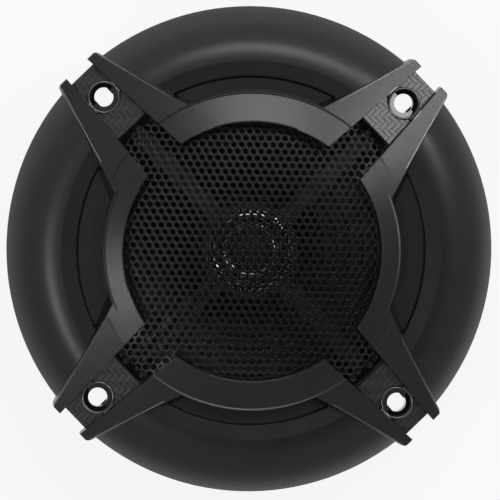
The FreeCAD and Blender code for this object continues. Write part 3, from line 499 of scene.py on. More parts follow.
# %% Recipe for a skin
def skin(name, low, high, cloud_mm, rough, grain_mm, depth_mm, worn=None, **values):
    """rough is the range of roughness over the clouds; worn is the colour that shows at the edges."""
    material, add, place, shader = start_material(name)
    tone, cloud = mottle(add, place, cloud_mm, low, high)
    fine, normal = grain_bump(add, place, grain_mm, depth_mm)
    uneven = add("MULTIPLY", [add("ADD", [cloud, fine]), 0.5])
    gloss = add("ShaderNodeMapRange", {"Value": uneven, "To Min": rough[0], "To Max": rough[1]})
    if worn:
        bevelled = add("ShaderNodeBevel", {"Radius": 0.25 * MM}, samples=4)
        true = add("ShaderNodeNewGeometry").outputs["Normal"]
        same = add("ShaderNodeVectorMath", [bevelled, true], operation="DOT_PRODUCT")
        edge = add("ShaderNodeMapRange", {"Value": same, "From Min": 0.99, "From Max": 0.90})
        patchy = add("MULTIPLY", [edge, cloud])
        tone = add("ShaderNodeMix", [patchy, tone, worn], data_type="RGBA")
    finish(shader, {"Base Color": tone, "Roughness": gloss, "Normal": normal}, **values)
    return material


# %% Sheet and block metals
# Powder coat: a thick film with orange-peel dimples, so a broken, soft highlight.
powder = skin("powder_coated_steel", "#131315", "#1a1a1d", 14, (0.36, 0.56), 0.9, 0.07, worn="#2b2b2d",
              IOR=1.5)
# Zinc plate: a cool grey with a faint yellow-blue cloudiness, satin from the barrel.
zinc = skin("zinc_plated_steel", "#9a9ea3", "#b9b8b2", 6, (0.26, 0.46), 0.5, 0.012, worn="#cfd0d2",
            Metallic=1.0)
# Nickel plate: warmer and brighter than zinc, over ground magnet material.
nickel = skin("nickel_plate", "#a8a49c", "#bdb9b0", 5, (0.16, 0.30), 0.4, 0.006, Metallic=1.0)
# Tin over brass blades: soft, pale and easily scuffed; the plating is thin at the sheared edges.
tin = skin("tinned_brass", "#a3a5a6", "#bfc0bf", 3, (0.28, 0.48), 0.35, 0.01, worn="#b79a52", Metallic=1.0)
# Brass rivets: spun over cold, bright yellow with darker clouds of tarnish.
brass = skin("spun_brass", "#9c7a35", "#c8a352", 1.5, (0.22, 0.42), 0.3, 0.01, Metallic=1.0)
# Black oxide: steel blackened in a salt bath and oiled, so it stays metallic; bright where turned.
oxide = skin("black_oxide_steel", "#0f0f11", "#1d1d20", 1.2, (0.30, 0.50), 0.25, 0.01, worn="#55565a",
             Metallic=0.7)
# Ferrite: a sintered ceramic, charcoal grey, with grinding marks and small chipped edges.
ferrite = skin("sintered_ferrite", "#232427", "#303134", 3, (0.50, 0.72), 0.5, 0.05, worn="#55565a",
               IOR=2.2)
paint(powder, "basket")
paint(zinc, "top_plate", "yoke", "plate_rivets", "tweeter_yoke")
paint(nickel, "tweeter_magnet", "tweeter_plate")
paint(tin, "terminal_positive", "terminal_negative", "capacitor_leads")
paint(brass, "terminal_rivets")
paint(oxide, "bridge_screws", "board_screws")
paint(ferrite, "magnet")

# %% Plastics, rubber and film
# Gloss ABS: the tweeter's shell comes from a polished tool, so it shines hard.
gloss_abs = skin("gloss_black_abs", "#09090a", "#0d0d0f", 8, (0.12, 0.24), 0.7, 0.01, IOR=1.53)
# Glass-filled nylon: stiff, charcoal grey, with fibres near the skin that dull it to satin.
nylon = skin("glass_filled_nylon", "#303033", "#3d3d41", 1.5, (0.24, 0.38), 0.4, 0.02, IOR=1.55)
# Butyl rubber: pressed from sheet, deep black with a grey bloom in patches.
rubber = skin("butyl_rubber", "#0e0e0f", "#17171a", 6, (0.46, 0.64), 0.4, 0.03, IOR=1.52, Sheen_Weight=0.08)
# Polyimide film: the amber of the former, clear over the aluminium-like glow of its own glue.
polyimide = skin("polyimide_film", "#8a4e14", "#a8641c", 4, (0.18, 0.30), 0.5, 0.008, IOR=1.7,
                 Coat_Weight=0.4)
# PVC sleeve: soft, slightly waxy insulation on the tweeter's wires.
pvc = skin("pvc_sleeve", "#131314", "#1b1b1d", 2.5, (0.32, 0.46), 0.3, 0.012, IOR=1.53)
# Heat-shrunk sleeve round the capacitor: thin plastic pulled tight, glossy and a little wavy.
sleeve = skin("shrink_sleeve", "#12233f", "#182c4d", 4, (0.18, 0.30), 1.1, 0.05, IOR=1.54, Coat_Weight=0.3)
# Elastic glue: cured contact cement, dark, with a glossy drawn surface.
glue = skin("cured_cement", "#161310", "#241f1a", 2, (0.22, 0.40), 0.8, 0.10, IOR=1.48)
# Solder: tin alloy that froze from the outside, bright with a frosted patch.
solder = skin("solder", "#9fa1a3", "#c6c7c8", 0.9, (0.14, 0.40), 0.3, 0.02, Metallic=1.0)
paint(gloss_abs, "tweeter_body")
paint(nylon, "tweeter_bridge")
paint(polyimide, "voice_coil_former")
paint(pvc, "tweeter_wires")
paint(sleeve, "crossover_capacitor")
print("skins:", len([m for m in bpy.data.materials if m.users]))

# %% [markdown]
# ## Finishes with a pattern of their own
# The gasket foam is cut from a block full of bubbles, so its skin is open cells. The cone is
# polypropylene with mica flakes, pressed with faint rings that stiffen it. Coils are wound wire,
# turn beside turn. Board, spider and tweeter dome are cloth or paper in resin, each with its own
# thread spacing. All of them read the object's own coordinates in millimetres.

# %% Foam, cone and windings
def open_cell_foam():
    """EVA foam: half-millimetre bubbles, cut open; their hollows are painted darker than their rims, a
    painted shade.
    """
    material, add, place, shader = start_material("eva_foam")
    cells = add("ShaderNodeTexVoronoi", {"Vector": place, "Scale": 1 / 0.55})
    # Painted shade: the hollow middle of each bubble, low in the bump, takes the dark colour.
    tone = add("ShaderNodeMix", [cells, "#0b0b0c", "#242426"], data_type="RGBA")
    relief = add("ShaderNodeBump", {"Height": cells, "Strength": 0.8, "Distance": 0.25 * MM})
    finish(shader, {"Base Color": tone, "Normal": relief}, Roughness=0.85,
           Sheen_Weight=0.15, IOR=1.48)
    return material


def radius_of(add, place):
    """Distance from the speaker's axis, and the height."""
    x, y, z = add("ShaderNodeSeparateXYZ", [place]).outputs
    flat = add("ShaderNodeCombineXYZ", [x, y])
    return add("ShaderNodeVectorMath", [flat], operation="LENGTH"), z


def ribbed(add, value, pitch, sharp=1.0):
    """0 to 1 in even waves along a value."""
    wave = add("SINE", [add("MULTIPLY", [value, 2 * math.pi / pitch])])
    return add("POWER", [add("MULTIPLY_ADD", [wave, 0.5, 0.5]), sharp])


def mica_polypropylene():
    """Satin black with tiny flakes; rings pressed every 4 mm catch the light as thin circles."""
    material, add, place, shader = start_material("mica_polypropylene")
    flakes = add("ShaderNodeTexVoronoi", {"Vector": place, "Scale": 1 / 0.45}).outputs["Color"]
    bright = add("GREATER_THAN", [add("ShaderNodeSeparateColor", [flakes]), 0.93])
    tone, _ = mottle(add, place, 7.0, "#0d0d0e", "#131315")
    flecked = add("ShaderNodeMix", [bright, tone, "#2c2c30"], data_type="RGBA")
    radius, _ = radius_of(add, place)
    waves = ribbed(add, radius, 4.0, 8.0)
    ring = add("ShaderNodeBump", {"Height": waves, "Strength": 0.6, "Distance": 0.25 * MM})
    _, normal = grain_bump(add, place, 0.5, 0.02, Normal=ring)
    finish(shader, {"Base Color": flecked, "Normal": normal}, Roughness=0.42, IOR=1.49)
    return material


def wound_copper():
    """Enamelled wire laid turn beside turn. Wire of 0.2 mm is drawn at 0.4 mm so that it shows. The grooves
    between turns are painted dark and the crowns light: painted shade and light.
    """
    material, add, place, shader = start_material("enamelled_copper_wire")
    _, height = radius_of(add, place)
    turn = ribbed(add, height, 0.4, 0.5)
    # Painted shade and light: dark copper in the grooves between turns, light copper on their crowns.
    tone = add("ShaderNodeMix", [turn, "#5a2412", "#b5622f"], data_type="RGBA")
    relief = add("ShaderNodeBump", {"Height": turn, "Strength": 0.9, "Distance": 0.12 * MM})
    finish(shader, {"Base Color": tone, "Normal": relief}, Roughness=0.3, Metallic=0.85,
           Coat_Weight=0.6)
    return material


paint(open_cell_foam(), "mounting_gasket")
cone_black = mica_polypropylene()
paint(cone_black, "cone", "dust_cap")
paint(wound_copper(), "voice_coil", "tweeter_coil")

# %% Cloth and paper in resin
def woven(name, thread_mm, low, high, depth, **values):
    """Plain weave: threads cross over and under by turns, on a square lattice seen from the front. The low
    ground between the threads is painted in the dark colour, a painted shade.
    """
    material, add, place, shader = start_material(name)
    x, y, _ = add("ShaderNodeSeparateXYZ", [place]).outputs
    warp, weft = (ribbed(add, axis, thread_mm, 0.6) for axis in (x, y))
    over = ribbed(add, add("ADD", [x, y]), 2 * thread_mm)
    thread = add("ShaderNodeMix", [over, warp, weft], data_type="FLOAT")
    # Painted shade: where the weave is low, between the threads, it takes the dark colour.
    tone = add("ShaderNodeMix", [thread, low, high], data_type="RGBA")
    patch, cloud = mottle(add, place, 5.0, "#d9d9d9", "#ffffff")
    tone = add("ShaderNodeMix", [1.0, tone, patch], data_type="RGBA", blend_type="MULTIPLY")
    relief = add("ShaderNodeBump", {"Height": thread, "Strength": 0.7, "Distance": depth * MM})
    gloss = add("ShaderNodeMapRange", {"Value": cloud, "To Min": 0.50, "To Max": 0.72})
    finish(shader, {"Base Color": tone, "Normal": relief, "Roughness": gloss},
           **values)
    return material


# Spider: cotton in phenolic resin, straw brown, with visible threads.
resin_cloth = woven("phenolic_cotton", 0.8, "#6b4a22", "#b98a4e", 0.18, IOR=1.55, Sheen_Weight=0.1)
# Dome: silk under a tacky damping coat; threads of 0.1 mm are drawn at 0.4 mm so that they show.
coated_silk = woven("coated_silk", 0.4, "#0a0a0b", "#131315", 0.03, IOR=1.5, Sheen_Weight=0.1,
                    Coat_Weight=0.25)
# The roll round the dome is thermoformed with it and polished by its tool, so its coat is glossy.
roll_film = skin("polished_roll_film", "#1a1a1c", "#222225", 2, (0.08, 0.14), 0.4, 0.004, IOR=1.6,
                 Coat_Weight=1.0, Coat_IOR=1.8, Coat_Roughness=0.05)
# Vent screen: a fine black nylon net that keeps dust out of the pole's vent. The disc is solid, and the
# gaps between its threads are painted near black, a painted shade.
net = woven("nylon_net", 0.7, "#050505", "#26262a", 0.2, IOR=1.53)
# Board: paper pressed in phenolic resin, brown, with long fibres and a satin surface.
board = skin("phenolic_paper", "#3f2414", "#5a361f", 3.0, (0.34, 0.52), 0.4, 0.02, worn="#7a5232", IOR=1.6)
# Flare: ABS with vacuum-deposited aluminium under clear lacquer, so it reflects like dark chrome.
flare = skin("metallized_abs", "#4a4b4e", "#5c5d61", 9, (0.05, 0.10), 0.9, 0.003, Metallic=1.0,
             Coat_Weight=0.6)
paint(coated_silk, "tweeter_dome")
paint(roll_film, "tweeter_surround")
paint(board, "terminal_board")
bare = [name for name in nodes if not nodes[name].data.materials or not nodes[name].data.materials[0]]
print("nodes still without a finish:", bare)

# %% [markdown]
# ## Surround and spider
# The rubber roll round the cone and the pressed cloth disc below it flex each time the cone moves.
# Each is made of slices whose borders lie on those of their neighbours.

# %% Rings made as slices
def arc_points(a, through, b, steps=10):
    """Points of the arc from a to b that passes through a third point, without the first."""
    (ax, az), (bx, bz), (cx, cz) = a, through, b
    d = 2 * (ax * (bz - cz) + bx * (cz - az) + cx * (az - bz))
    a2, b2, c2 = (x * x + z * z for x, z in (a, through, b))
    ux = (a2 * (bz - cz) + b2 * (cz - az) + c2 * (az - bz)) / d
    uz = (a2 * (cx - bx) + b2 * (ax - cx) + c2 * (bx - ax)) / d
    r = math.hypot(ax - ux, az - uz)
    first, middle, last = (math.atan2(z - uz, x - ux) for x, z in (a, through, b))
    turn = (last - first) % math.tau
    if (middle - first) % math.tau > turn:
        turn -= math.tau
    return [(ux + r * math.cos(first + turn * i / steps), uz + r * math.sin(first + turn * i / steps))
            for i in range(1, steps + 1)]


def offset_line(points, t):
    """The same line, moved by t along its upward normal."""
    moved = []
    for i, (r, z) in enumerate(points):
        (r0, z0), (r1, z1) = points[max(i - 1, 0)], points[min(i + 1, len(points) - 1)]
        length = math.hypot(r1 - r0, z1 - z0)
        moved.append((r - t * (z1 - z0) / length, z + t * (r1 - r0) / length))
    return moved


def slice_mesh(name, line, thickness, middle_deg, half_deg, steps=8):
    """A closed slice: the line from inside to outside, given a thickness and turned through an angle."""
    loop = line + offset_line(line, thickness)[::-1]
    angles = span(middle_deg - half_deg, middle_deg + half_deg, steps)
    return lofted(name, turned(loop, angles), strip_ends=True)


def flexing_ring(node, line, thickness, count, material):
    """Slices all round, shown in place of the CAD node."""
    half = 180 / count
    for i in range(count):
        middle = 360 * i / count + half
        mesh = slice_mesh(node, line, thickness, middle, half)
        piece = plain_object(f"{node}_slice_{i + 1:02d}", mesh, material)
        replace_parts(piece, node)
        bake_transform(piece)
    print(node, "made of", count, "slices")


# %% Surround and spider in place
LEDGE_Z, RUBBER_T, ROLL_OUT, CONE_R, STEP_R = -3.0, 0.5, 53.2, 46.6, 56.5
NECK_R, NECK_Z = 12.85, -18.2        # the cone's front runs straight from here to CONE_R


def cone_height(r):
    return on_line(r, NECK_R, CONE_R, NECK_Z, LEDGE_Z)


glue_r = CONE_R - 1.8
roll = [(glue_r, cone_height(glue_r) + 0.05), (CONE_R, LEDGE_Z + 0.03)]
roll += arc_points((CONE_R, LEDGE_Z), ((CONE_R + ROLL_OUT) / 2, LEDGE_Z + 3.2), (ROLL_OUT, LEDGE_Z), 14)
roll += [(STEP_R - 0.25, LEDGE_Z)]
flexing_ring("surround", roll, RUBBER_T, 16, rubber)

SPIDER_T, SHELF_Z, SPIDER_FLAT, SPIDER_COLLAR, SPIDER_R, WAVE_H = 0.5, -20.5, 31.4, 15.4, 35.4, 1.1
half_wave = (SPIDER_FLAT - SPIDER_COLLAR) / 8
waves = [(NECK_R + 0.05, SHELF_Z), (SPIDER_COLLAR, SHELF_Z)]
for i in range(8):
    r, lift = SPIDER_COLLAR + half_wave * i, WAVE_H if i % 2 else -WAVE_H
    waves += arc_points((r, SHELF_Z), (r + half_wave / 2, SHELF_Z + lift), (r + half_wave, SHELF_Z), 6)
waves += [(SPIDER_R, SHELF_Z)]
flexing_ring("spider", waves, SPIDER_T, 12, resin_cloth)

# %% [markdown]
# ## Tinsel leads
# Two flexible leads carry the current from the board to the moving cone. Each is a rope of three
# strands of copper foil wound on thread. A curve follows the lead's route, and Geometry Nodes lay
# a helix round it for each strand: points along the curve are pushed out along its normal, turned
# by an angle that grows with the length.

# %% Twisted rope along a curve
def twisted_rope(material):
    tree, add, sizes = new_tree("twisted_rope", geometry_in=True, strands=3, strand=0.3, lay=0.29,
                                twist=3.2, spacing=0.25)
    path = add("GeometryNodeResampleCurve", {"Curve": sizes["Geometry"], "Length": sizes["spacing"]},
               mode="LENGTH")
    copies = add("GeometryNodeDuplicateElements", {"Geometry": path, "Amount": sizes["strands"]},
                 domain="SPLINE")
    travel = add("GeometryNodeSplineParameter").outputs["Length"]
    turns = add("MULTIPLY", [add("DIVIDE", [travel, sizes["twist"]]), 2 * math.pi])
    whole = add("MULTIPLY", [copies.outputs["Duplicate Index"], math.tau])
    start = add("DIVIDE", [whole, sizes["strands"]])
    angle = add("ADD", [turns, start])
    tangent = add("GeometryNodeInputTangent")
    side = add("ShaderNodeVectorRotate", {"Vector": add("GeometryNodeInputNormal"),
                                          "Axis": tangent, "Angle": angle}, rotation_type="AXIS_ANGLE")
    push = add("ShaderNodeVectorMath", [side, sizes["lay"]], operation="SCALE")
    coiled = add("GeometryNodeSetPosition", {"Geometry": copies, "Offset": push})
    section = add("GeometryNodeCurvePrimitiveCircle", {"Resolution": 8, "Radius": sizes["strand"]})
    rope = add("GeometryNodeCurveToMesh", {"Curve": coiled, "Profile Curve": section, "Fill Caps": True})
    smooth = add("GeometryNodeSetShadeSmooth", {0: rope, "Shade Smooth": True}, domain="FACE")
    close_tree(add, smooth, material)
    return tree


def route_curve(name, points):
    """A smooth curve through a route, as a NURBS line that starts and ends on its end points."""
    data = bpy.data.curves.new(name, "CURVE")
    data.dimensions = "3D"
    spline = data.splines.new("NURBS")
    spline.points.add(len(points) - 1)
    for point, place in zip(spline.points, points):
        point.co = (*place, 1)
    spline.use_endpoint_u = True
    spline.order_u = 3
    spline.resolution_u = 12
    return data


# Tinsel: copper foil on thread, dull gold-brown, with the foil's edges catching light.
tinsel = skin("tinsel_rope", "#8a6a45", "#c09a6a", 0.6, (0.30, 0.50), 0.2, 0.02, Metallic=0.8)
BLADE_X, BLADE_TOP, BLADE_FACE, LEAD_R = 9.5, -20.0, -52.4, 0.6
HOLE_X, HOLE_Z, BOARD_Y, ANCHOR_R = 4.0, -13.0, -50.0, 24.0
rope_tree = twisted_rope(tinsel)
for side, word in ((-1, "left"), (1, "right")):
    x = side * HOLE_X
    route = [
        (side * (BLADE_X - 1.9), BLADE_FACE - LEAD_R - 0.05, BLADE_TOP - 0.2),
        (side * (BLADE_X - 3.8), BLADE_FACE - LEAD_R - 0.3, BLADE_TOP + 2.2),
        (x * 1.05, BLADE_FACE - LEAD_R, HOLE_Z - 2.6),
        (x, BOARD_Y - 1.9, HOLE_Z - 0.3),
        (x, BOARD_Y + 2, HOLE_Z),
        (x, BOARD_Y + 8, HOLE_Z),
        (x, -(ANCHOR_R + 11.5), HOLE_Z - 3.2),
        (x, -(ANCHOR_R + 4.5), HOLE_Z - 2.9),
        (x, -ANCHOR_R, cone_height(ANCHOR_R) - 0.6 - LEAD_R - 0.2),
    ]
    rope = grow(f"tinsel_lead_{word}", rope_tree, start=route_curve("route", route))
    rope.data.transform(Matrix.Scale(MM, 4))
    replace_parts(rope, "tinsel_leads")
    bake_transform(rope)
    print(rope.name, len(rope.data.polygons), "faces")

# %% [markdown]
# ## Glue, solder and the vent's screen
# Joints show how a thing was put together: a bead of cement where the dust cap meets the cone, one
# round the spider's edge and one where the magnet meets its plates, solder where wires end. A bead
# is a ring of small uneven lumps, so its section grows and shrinks with smooth noise round it.

# %% Beads and drops
STEPS_ROUND = [2 * i for i in range(180)]            # degrees, for a piece that closes on itself


def bead(name, radius, z, size, body, material, seed, squeeze=0.6, sides=8):
    """Ring of glue: a closed tube whose section swells and thins along the way."""
    rows = []
    for angle in STEPS_ROUND:
        swell = 1 + 0.22 * noise.noise((direction(angle) + UP * seed) * 3.1)
        section = [(radius + size * swell * math.cos(a), z + size * squeeze * swell * math.sin(a))
                   for a in (math.tau * k / sides for k in range(sides))]
        rows += turned(section, [angle])
    return placed(name, lofted(name, rows, closed=True, sharp_deg=None), material, body)


def drop(name, centre, size, body, material, slot, seed):
    """A small lump that froze or set where it was put: a ball pressed flat and made uneven."""
    bm = bmesh.new()
    bmesh.ops.create_icosphere(bm, subdivisions=3, radius=1.0)
    for vert in bm.verts:
        swell = 1 + 0.18 * noise.noise(vert.co * 1.7 + Vector((seed, 0, 0)))
        vert.co = Vector(c + v * s * swell for c, v, s in zip(centre, vert.co, size)) * MM
    return placed(name, mesh_from(name, bm), material, body)


CAP_R, MAGNET_GLUE_R, MAGNET_Z, YOKE_Z, BACK_Z = 16.0, 32.2, -32.5, -44.0, -48.0
bead("cap_glue", CAP_R + 0.1, cone_height(CAP_R) + 0.15, 0.55, "cone_assembly", glue, 1.0)
bead("spider_glue", SPIDER_R - 0.1, SHELF_Z + SPIDER_T + 0.05, 0.6, "frame", glue, 2.0)
bead("magnet_glue_front", MAGNET_GLUE_R, MAGNET_Z - 0.1, 0.5, "frame", glue, 3.0)
bead("magnet_glue_back", MAGNET_GLUE_R, YOKE_Z + 0.1, 0.5, "frame", glue, 4.0)
for side, word in ((-1, "left"), (1, "right")):
    end = (side * (BLADE_X - 1.7), BLADE_FACE - 0.25, BLADE_TOP - 0.4)
    drop(f"solder_{word}", end, (1.5, 0.55, 1.0), "frame", solder, "terminal_tin", 5.0 + side)
    anchor = (side * HOLE_X, -ANCHOR_R + 0.3, cone_height(ANCHOR_R) - 0.75)
    drop(f"lead_glue_{word}", anchor, (1.7, 2.0, 0.8), "cone_assembly", glue, "cone_black", 8.0 + side)


def round_screen(name, radius, z, material):
    """A flat disc of net, closed by its own thickness."""
    bm = bmesh.new()
    bmesh.ops.create_circle(bm, cap_ends=True, cap_tris=True, segments=48, radius=radius * MM)
    bmesh.ops.translate(bm, verts=bm.verts, vec=(0, 0, z * MM))
    piece = placed(name, mesh_from(name, bm, smooth=False), material, "frame")
    wall = piece.modifiers.new("thickness", "SOLIDIFY")
    wall.thickness = 0.3 * MM
    wall.offset = 1.0
    return piece


round_screen("vent_screen", 3.98, BACK_Z + 3.0, net)

# %% [markdown]
# ## The tweeter's flare
# The bright ring round the tweeter is a small metallized moulding. Its face slopes outwards like
# the grille's band, drops inwards in a curve, and carries one fine step. The CAD part has the ring's
# size and seat; this piece adds the rounded and stepped face that gives the sparkle through the
# holes. A closed section is turned about the axis in 2-degree steps.

# %% Turned flare
face = [(13.3, 8.75)] + arc_points((13.3, 8.75), (13.2, 8.95), (13.0, 9.08), 4) + [(11.3, 9.5)]
face += arc_points((11.3, 9.5), (11.1, 9.5), (10.95, 9.3), 4)
face += arc_points((10.95, 9.3), (10.72, 8.45), (10.5, 8.0), 6)
face += arc_points((10.5, 8.0), (10.3, 8.06), (10.1, 7.85), 4)
face += arc_points((10.1, 7.85), (9.85, 7.2), (9.7, 6.6), 5)
section = [(9.7, 6.1), (11.3, 6.1), (11.3, 8.2), (13.3, 8.2)] + face
flare_mesh = lofted("stepped_flare", turned(section, STEPS_ROUND), closed=True, sharp_deg=40)
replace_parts(placed("stepped_flare", flare_mesh, flare, "frame"), "tweeter_flare")

# %% [markdown]
# ## Beads on the ring's edge
# The mould leaves a fine raised edge where the ring's band ends: on the circle where the ridges
# begin, and along the ring's outer wall between the arms at the sides. It leans inwards, so it
# mirrors a lamp that the band beside it does not see, and draws a thin bright line. Each stretch is
# one section swept through its angle, sunk into the grille below.

# %% Edge beads
BAND_IN_R, BAND_TOP = 40.4, 18.2


def band_height(r):
    return on_line(r, BAND_IN_R, CREASE_R, BAND_TOP, CREASE_Z)


def edge_bead(name, radius, first_deg, last_deg, lean=0.26, width=0.6, round_off=0.12, sunk=0.3):
    """A bead whose upper face rises outwards by lean for each millimetre."""
    inner, outer = radius - width / 2, radius + width / 2
    low = band_height(inner)
    top = low + lean * width
    section = [(inner, low - sunk), (inner, low), (outer, top), (outer + round_off, top - 0.10),
               (outer + round_off, low - sunk - 0.2)]
    rows = turned(section, span(first_deg, last_deg, max(2, round(last_deg - first_deg))))
    return placed(name, lofted(name, rows, sharp_deg=20), abs_black, "frame")


WIDE, GAP = 19.0, 7.6                # half the angles of an arm and of its channel at the crease
SLIM_R = 46.05                       # beside the slim walls
for name, low_arm, high_arm in (("top", 45, 135), ("bottom", 225, 315)):
    edge_bead(f"edge_bead_{name}", CREASE_R - 0.05, low_arm + GAP, high_arm - GAP)
    edge_bead(f"edge_bead_{name}_first", CREASE_R - 0.05, low_arm - WIDE, low_arm - GAP)
    edge_bead(f"edge_bead_{name}_last", CREASE_R - 0.05, high_arm + GAP, high_arm + WIDE)
SLIM_HALF = 24                       # half the angle of a slim wall between the arms
for name, middle_deg in (("right", 0), ("left", 180)):
    edge_bead(f"edge_bead_{name}", SLIM_R, middle_deg - SLIM_HALF, middle_deg + SLIM_HALF)

# %% [markdown]
# ## Rims of the eyes
# Each mounting hole sits in a raised eye. Its rim is polished and rounded, and so are the two short
# beads that join it to the channel's walls. They are swept from one round section, sunk by half
# into the moulding, and catch the lamps as a bright ring between two straight strokes.

# %% Eye rims
def round_section(centre, outward, radius, sides=12):
    """Points round a rod that runs level, square to the direction outward."""
    return [centre + (outward * math.cos(a) + UP * math.sin(a)) * radius
            for a in (math.tau * k / sides for k in range(sides))]


def rod(name, rows, closed=False):
    return placed(name, lofted(name, rows, closed), polished_edge, "frame")


# ABS again, but where the tool is polished: a tight highlight, kept brighter than plain ABS would
# give, so that edges this thin still show.
polished_edge = skin("polished_black_abs", "#0c0c0d", "#111112", 9, (0.12, 0.18), 0.6, 0.004, IOR=2.3)
ARMS = (("ne", 45), ("nw", 135), ("sw", 225), ("se", 315))
HANDS = (("right", -1), ("left", 1))
EYE_R, EYE_Z, EYE_ROD = 4.78, 9.43, 0.36      # the rim's radius and height, and its rod's radius
STROKE, STROKE_OUT = 4.2, 0.27       # the straight beads' length, and how far beside the rim
for arm, arm_deg in ARMS:
    along, across = direction(arm_deg), direction(arm_deg + 90)
    middle = along * SEAT_R + UP * EYE_Z
    ways = [direction(arm_deg + 5 * i) for i in range(72)]
    rod(f"eye_rim_{arm}", [round_section(middle + way * EYE_R, way, EYE_ROD) for way in ways], closed=True)
    for side_word, hand in HANDS:
        beside = middle + across * hand * (EYE_R + STROKE_OUT)
        centres = [beside + along * t for t in span(-STROKE / 2, STROKE / 2, 3)]
        rod(f"eye_bead_{arm}_{side_word}", [round_section(centre, across, EYE_ROD) for centre in centres])

# %% [markdown]
# ## Rounded edges of the ridges
# The outer edge of each ridge is rounded in the mould, where the CAD solid is sharp. A thin rod sunk
# into the edge gives that round, and its highlight is the bright line along the arm. The rod
# follows the ridge's slope in short steps, from the ring to the ridge's end.

# %% Ridge edges
FLANK_IN, FLANK_HALF_IN, FLANK_HALF_OUT = 47.0, 16.8, 7.9      # its start, half widths there and at the end


def ridge_round(name, arm_deg, hand, radius=0.45, first=52.5, last=77.6):
    """Rod along one outer edge of an arm; hand is -1 or 1."""
    along, across = direction(arm_deg), direction(arm_deg + 90) * hand
    rows = []
    for u in span(first, last, 24):
        v = on_line(u, FLANK_IN, RIDGE_END_R, FLANK_HALF_IN, FLANK_HALF_OUT)
        z = on_line(math.hypot(u, v), CREASE_R, RIDGE_END_R, CREASE_Z, RIDGE_END_Z)
        centre = along * u + across * (v - radius + 0.02) + UP * (z - radius + 0.06)
        rows.append(round_section(centre, across, radius))
    return rod(name, rows)


for arm, arm_deg in ARMS:
    for side_word, hand in HANDS:
        ridge_round(f"ridge_round_{arm}_{side_word}", arm_deg, hand)

# %% [markdown]
# ## Floor, light and camera
# The studio is a light tent over a white floor: bright near the floor, and dark straight above,
# where the camera looks in. Gloss on black plastic is only a mirror of that tent, so the tent's
# brightness by height decides its look. Three softboxes add the highlights. All of it together
# lights a level surface about as strongly as its colour is written.

# %% Softboxes
def area_light(name, direction_deg, distance, size, watts):
    """Softbox seen from the speaker at tilt angles (x, y) from straight above."""
    tx, ty = (math.radians(a) for a in direction_deg)
    place = Vector((math.tan(tx), math.tan(ty), 1.0)).normalized() * distance
    data = bpy.data.lights.new(name, "AREA")
    data.shape = "RECTANGLE"
    data.size, data.size_y = size
    data.energy = watts
    lamp = bpy.data.objects.new(name, data)
    lamp.location = place
    lamp.rotation_euler = (-place).to_track_quat("-Z", "Y").to_euler()
    bpy.context.scene.collection.objects.link(lamp)
    return lamp


area_light("softbox_top", (6, 25), 1.2, (0.42, 0.24), 1.8)
area_light("softbox_left", (-21.5, -11), 1.2, (0.30, 0.15), 1.3)
area_light("softbox_right", (31, 24), 1.2, (0.24, 0.24), 1.5)

# %% The tent
DARK = Vector((0.14, -0.12, 1)).normalized()      # toward the camera stand, which throws no light back
# How bright the tent is, from the side away from that direction (0) to the direction itself (1).
TENT = [(0.0, 0.85), (0.2, 0.62), (0.80, 0.52), (0.955, 0.48), (0.978, 0.10), (1.0, 0.02)]
world = bpy.data.worlds.new("light_tent")
bpy.context.scene.world = world
world.use_nodes = True
world.node_tree.nodes.clear()
add = partial(add_node, world.node_tree)
place = add("ShaderNodeTexCoord").outputs["Generated"]
nearness = add("ShaderNodeVectorMath", [place, DARK], operation="DOT_PRODUCT")
tent = add("ShaderNodeValToRGB", {"Fac": nearness})
for i, (at, level) in enumerate(TENT):
    stop = tent.color_ramp.elements[i] if i < 2 else tent.color_ramp.elements.new(at)
    stop.position = at
    stop.color = (level, level, level, 1)
rays = add("ShaderNodeLightPath").outputs
seen = add("ShaderNodeMix", [rays["Is Camera Ray"], tent, (1, 1, 1, 1)], data_type="RGBA")
behind = add("ShaderNodeSeparateXYZ", [place]).outputs["Y"]
wall = add("MULTIPLY_ADD", [add("MAXIMUM", [behind, 0.0]), 0.6, 0.9])
strength = add("ShaderNodeMix", [rays["Is Camera Ray"], wall, 1.0], data_type="FLOAT")
back = add("ShaderNodeBackground", {"Color": seen, "Strength": strength})
add("ShaderNodeOutputWorld", {"Surface": back})

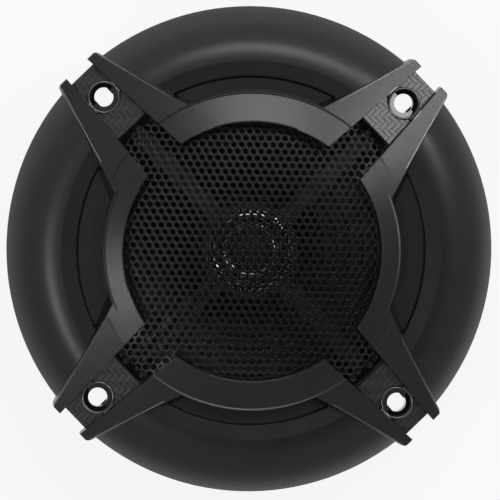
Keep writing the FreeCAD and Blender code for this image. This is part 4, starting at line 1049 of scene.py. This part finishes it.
# %% The floor
floor_z = cad_box[0][2] - 0.1 * MM
FLOOR_HALF, PAPER, GLOW = 3.0, 0.9, 0.85      # half its width (m), its whiteness, its own glow when seen
corners = [(x * FLOOR_HALF, y * FLOOR_HALF, floor_z) for x, y in ((-1, -1), (1, -1), (1, 1), (-1, 1))]
floor_mesh = bpy.data.meshes.new("floor")
floor_mesh.from_pydata(corners, [], [(0, 1, 2, 3)])
floor = plain_object("floor", floor_mesh)
paper = bpy.data.materials.new("white_sweep")
paper.use_nodes = True
paper.node_tree.nodes.clear()
add = partial(add_node, paper.node_tree)
rays = add("ShaderNodeLightPath").outputs
matte = add("ShaderNodeBsdfDiffuse", {"Color": (PAPER, PAPER, PAPER, 1)})
glow = add("ShaderNodeEmission", {"Color": (1, 1, 1, 1), "Strength": 1.0})
shown = add("MAXIMUM", [rays["Is Camera Ray"], rays["Is Glossy Ray"]])
shown = add("MAXIMUM", [shown, rays["Is Transmission Ray"]])
share = add("MULTIPLY", [shown, GLOW])
blend = add("ShaderNodeMixShader", [share, matte, glow])
# From below the floor is not there, and light reaches the face that stands on it.
under = add("ShaderNodeNewGeometry").outputs["Backfacing"]
touching = add("LESS_THAN", [rays["Ray Length"], MM])
unseen = add("MAXIMUM", [under, touching])
clear = add("ShaderNodeBsdfTransparent")
paper_or_none = add("ShaderNodeMixShader", [unseen, blend, clear])
add("ShaderNodeOutputMaterial", {"Surface": paper_or_none})
floor_mesh.materials.append(paper)

# %% The camera
camera_data = bpy.data.cameras.new("camera")
camera = bpy.data.objects.new("camera", camera_data)
bpy.context.scene.collection.objects.link(camera)
bpy.context.scene.camera = camera
# It stands almost straight above: 4.4 degrees off the axis, toward 143 degrees, and turned by 1.1.
TILT, SWING, TURN = math.radians(4.4), 143, 1.1
DISTANCE, PICTURE = 1.5, 0.15768     # metres: from the speaker, and the picture's width at the speaker
aim = Vector((0.25, -0.32, 0)) * MM
view = direction(SWING) * math.sin(TILT) + UP * math.cos(TILT)
side = direction(TURN)
side = (side - side.dot(view) * view).normalized()
turn = Matrix((side, view.cross(side), view)).transposed()
camera.matrix_world = Matrix.Translation(aim + view * DISTANCE) @ turn.to_4x4()
camera_data.lens = camera_data.sensor_width * DISTANCE / PICTURE
bpy.context.scene.view_settings.view_transform = "Standard"
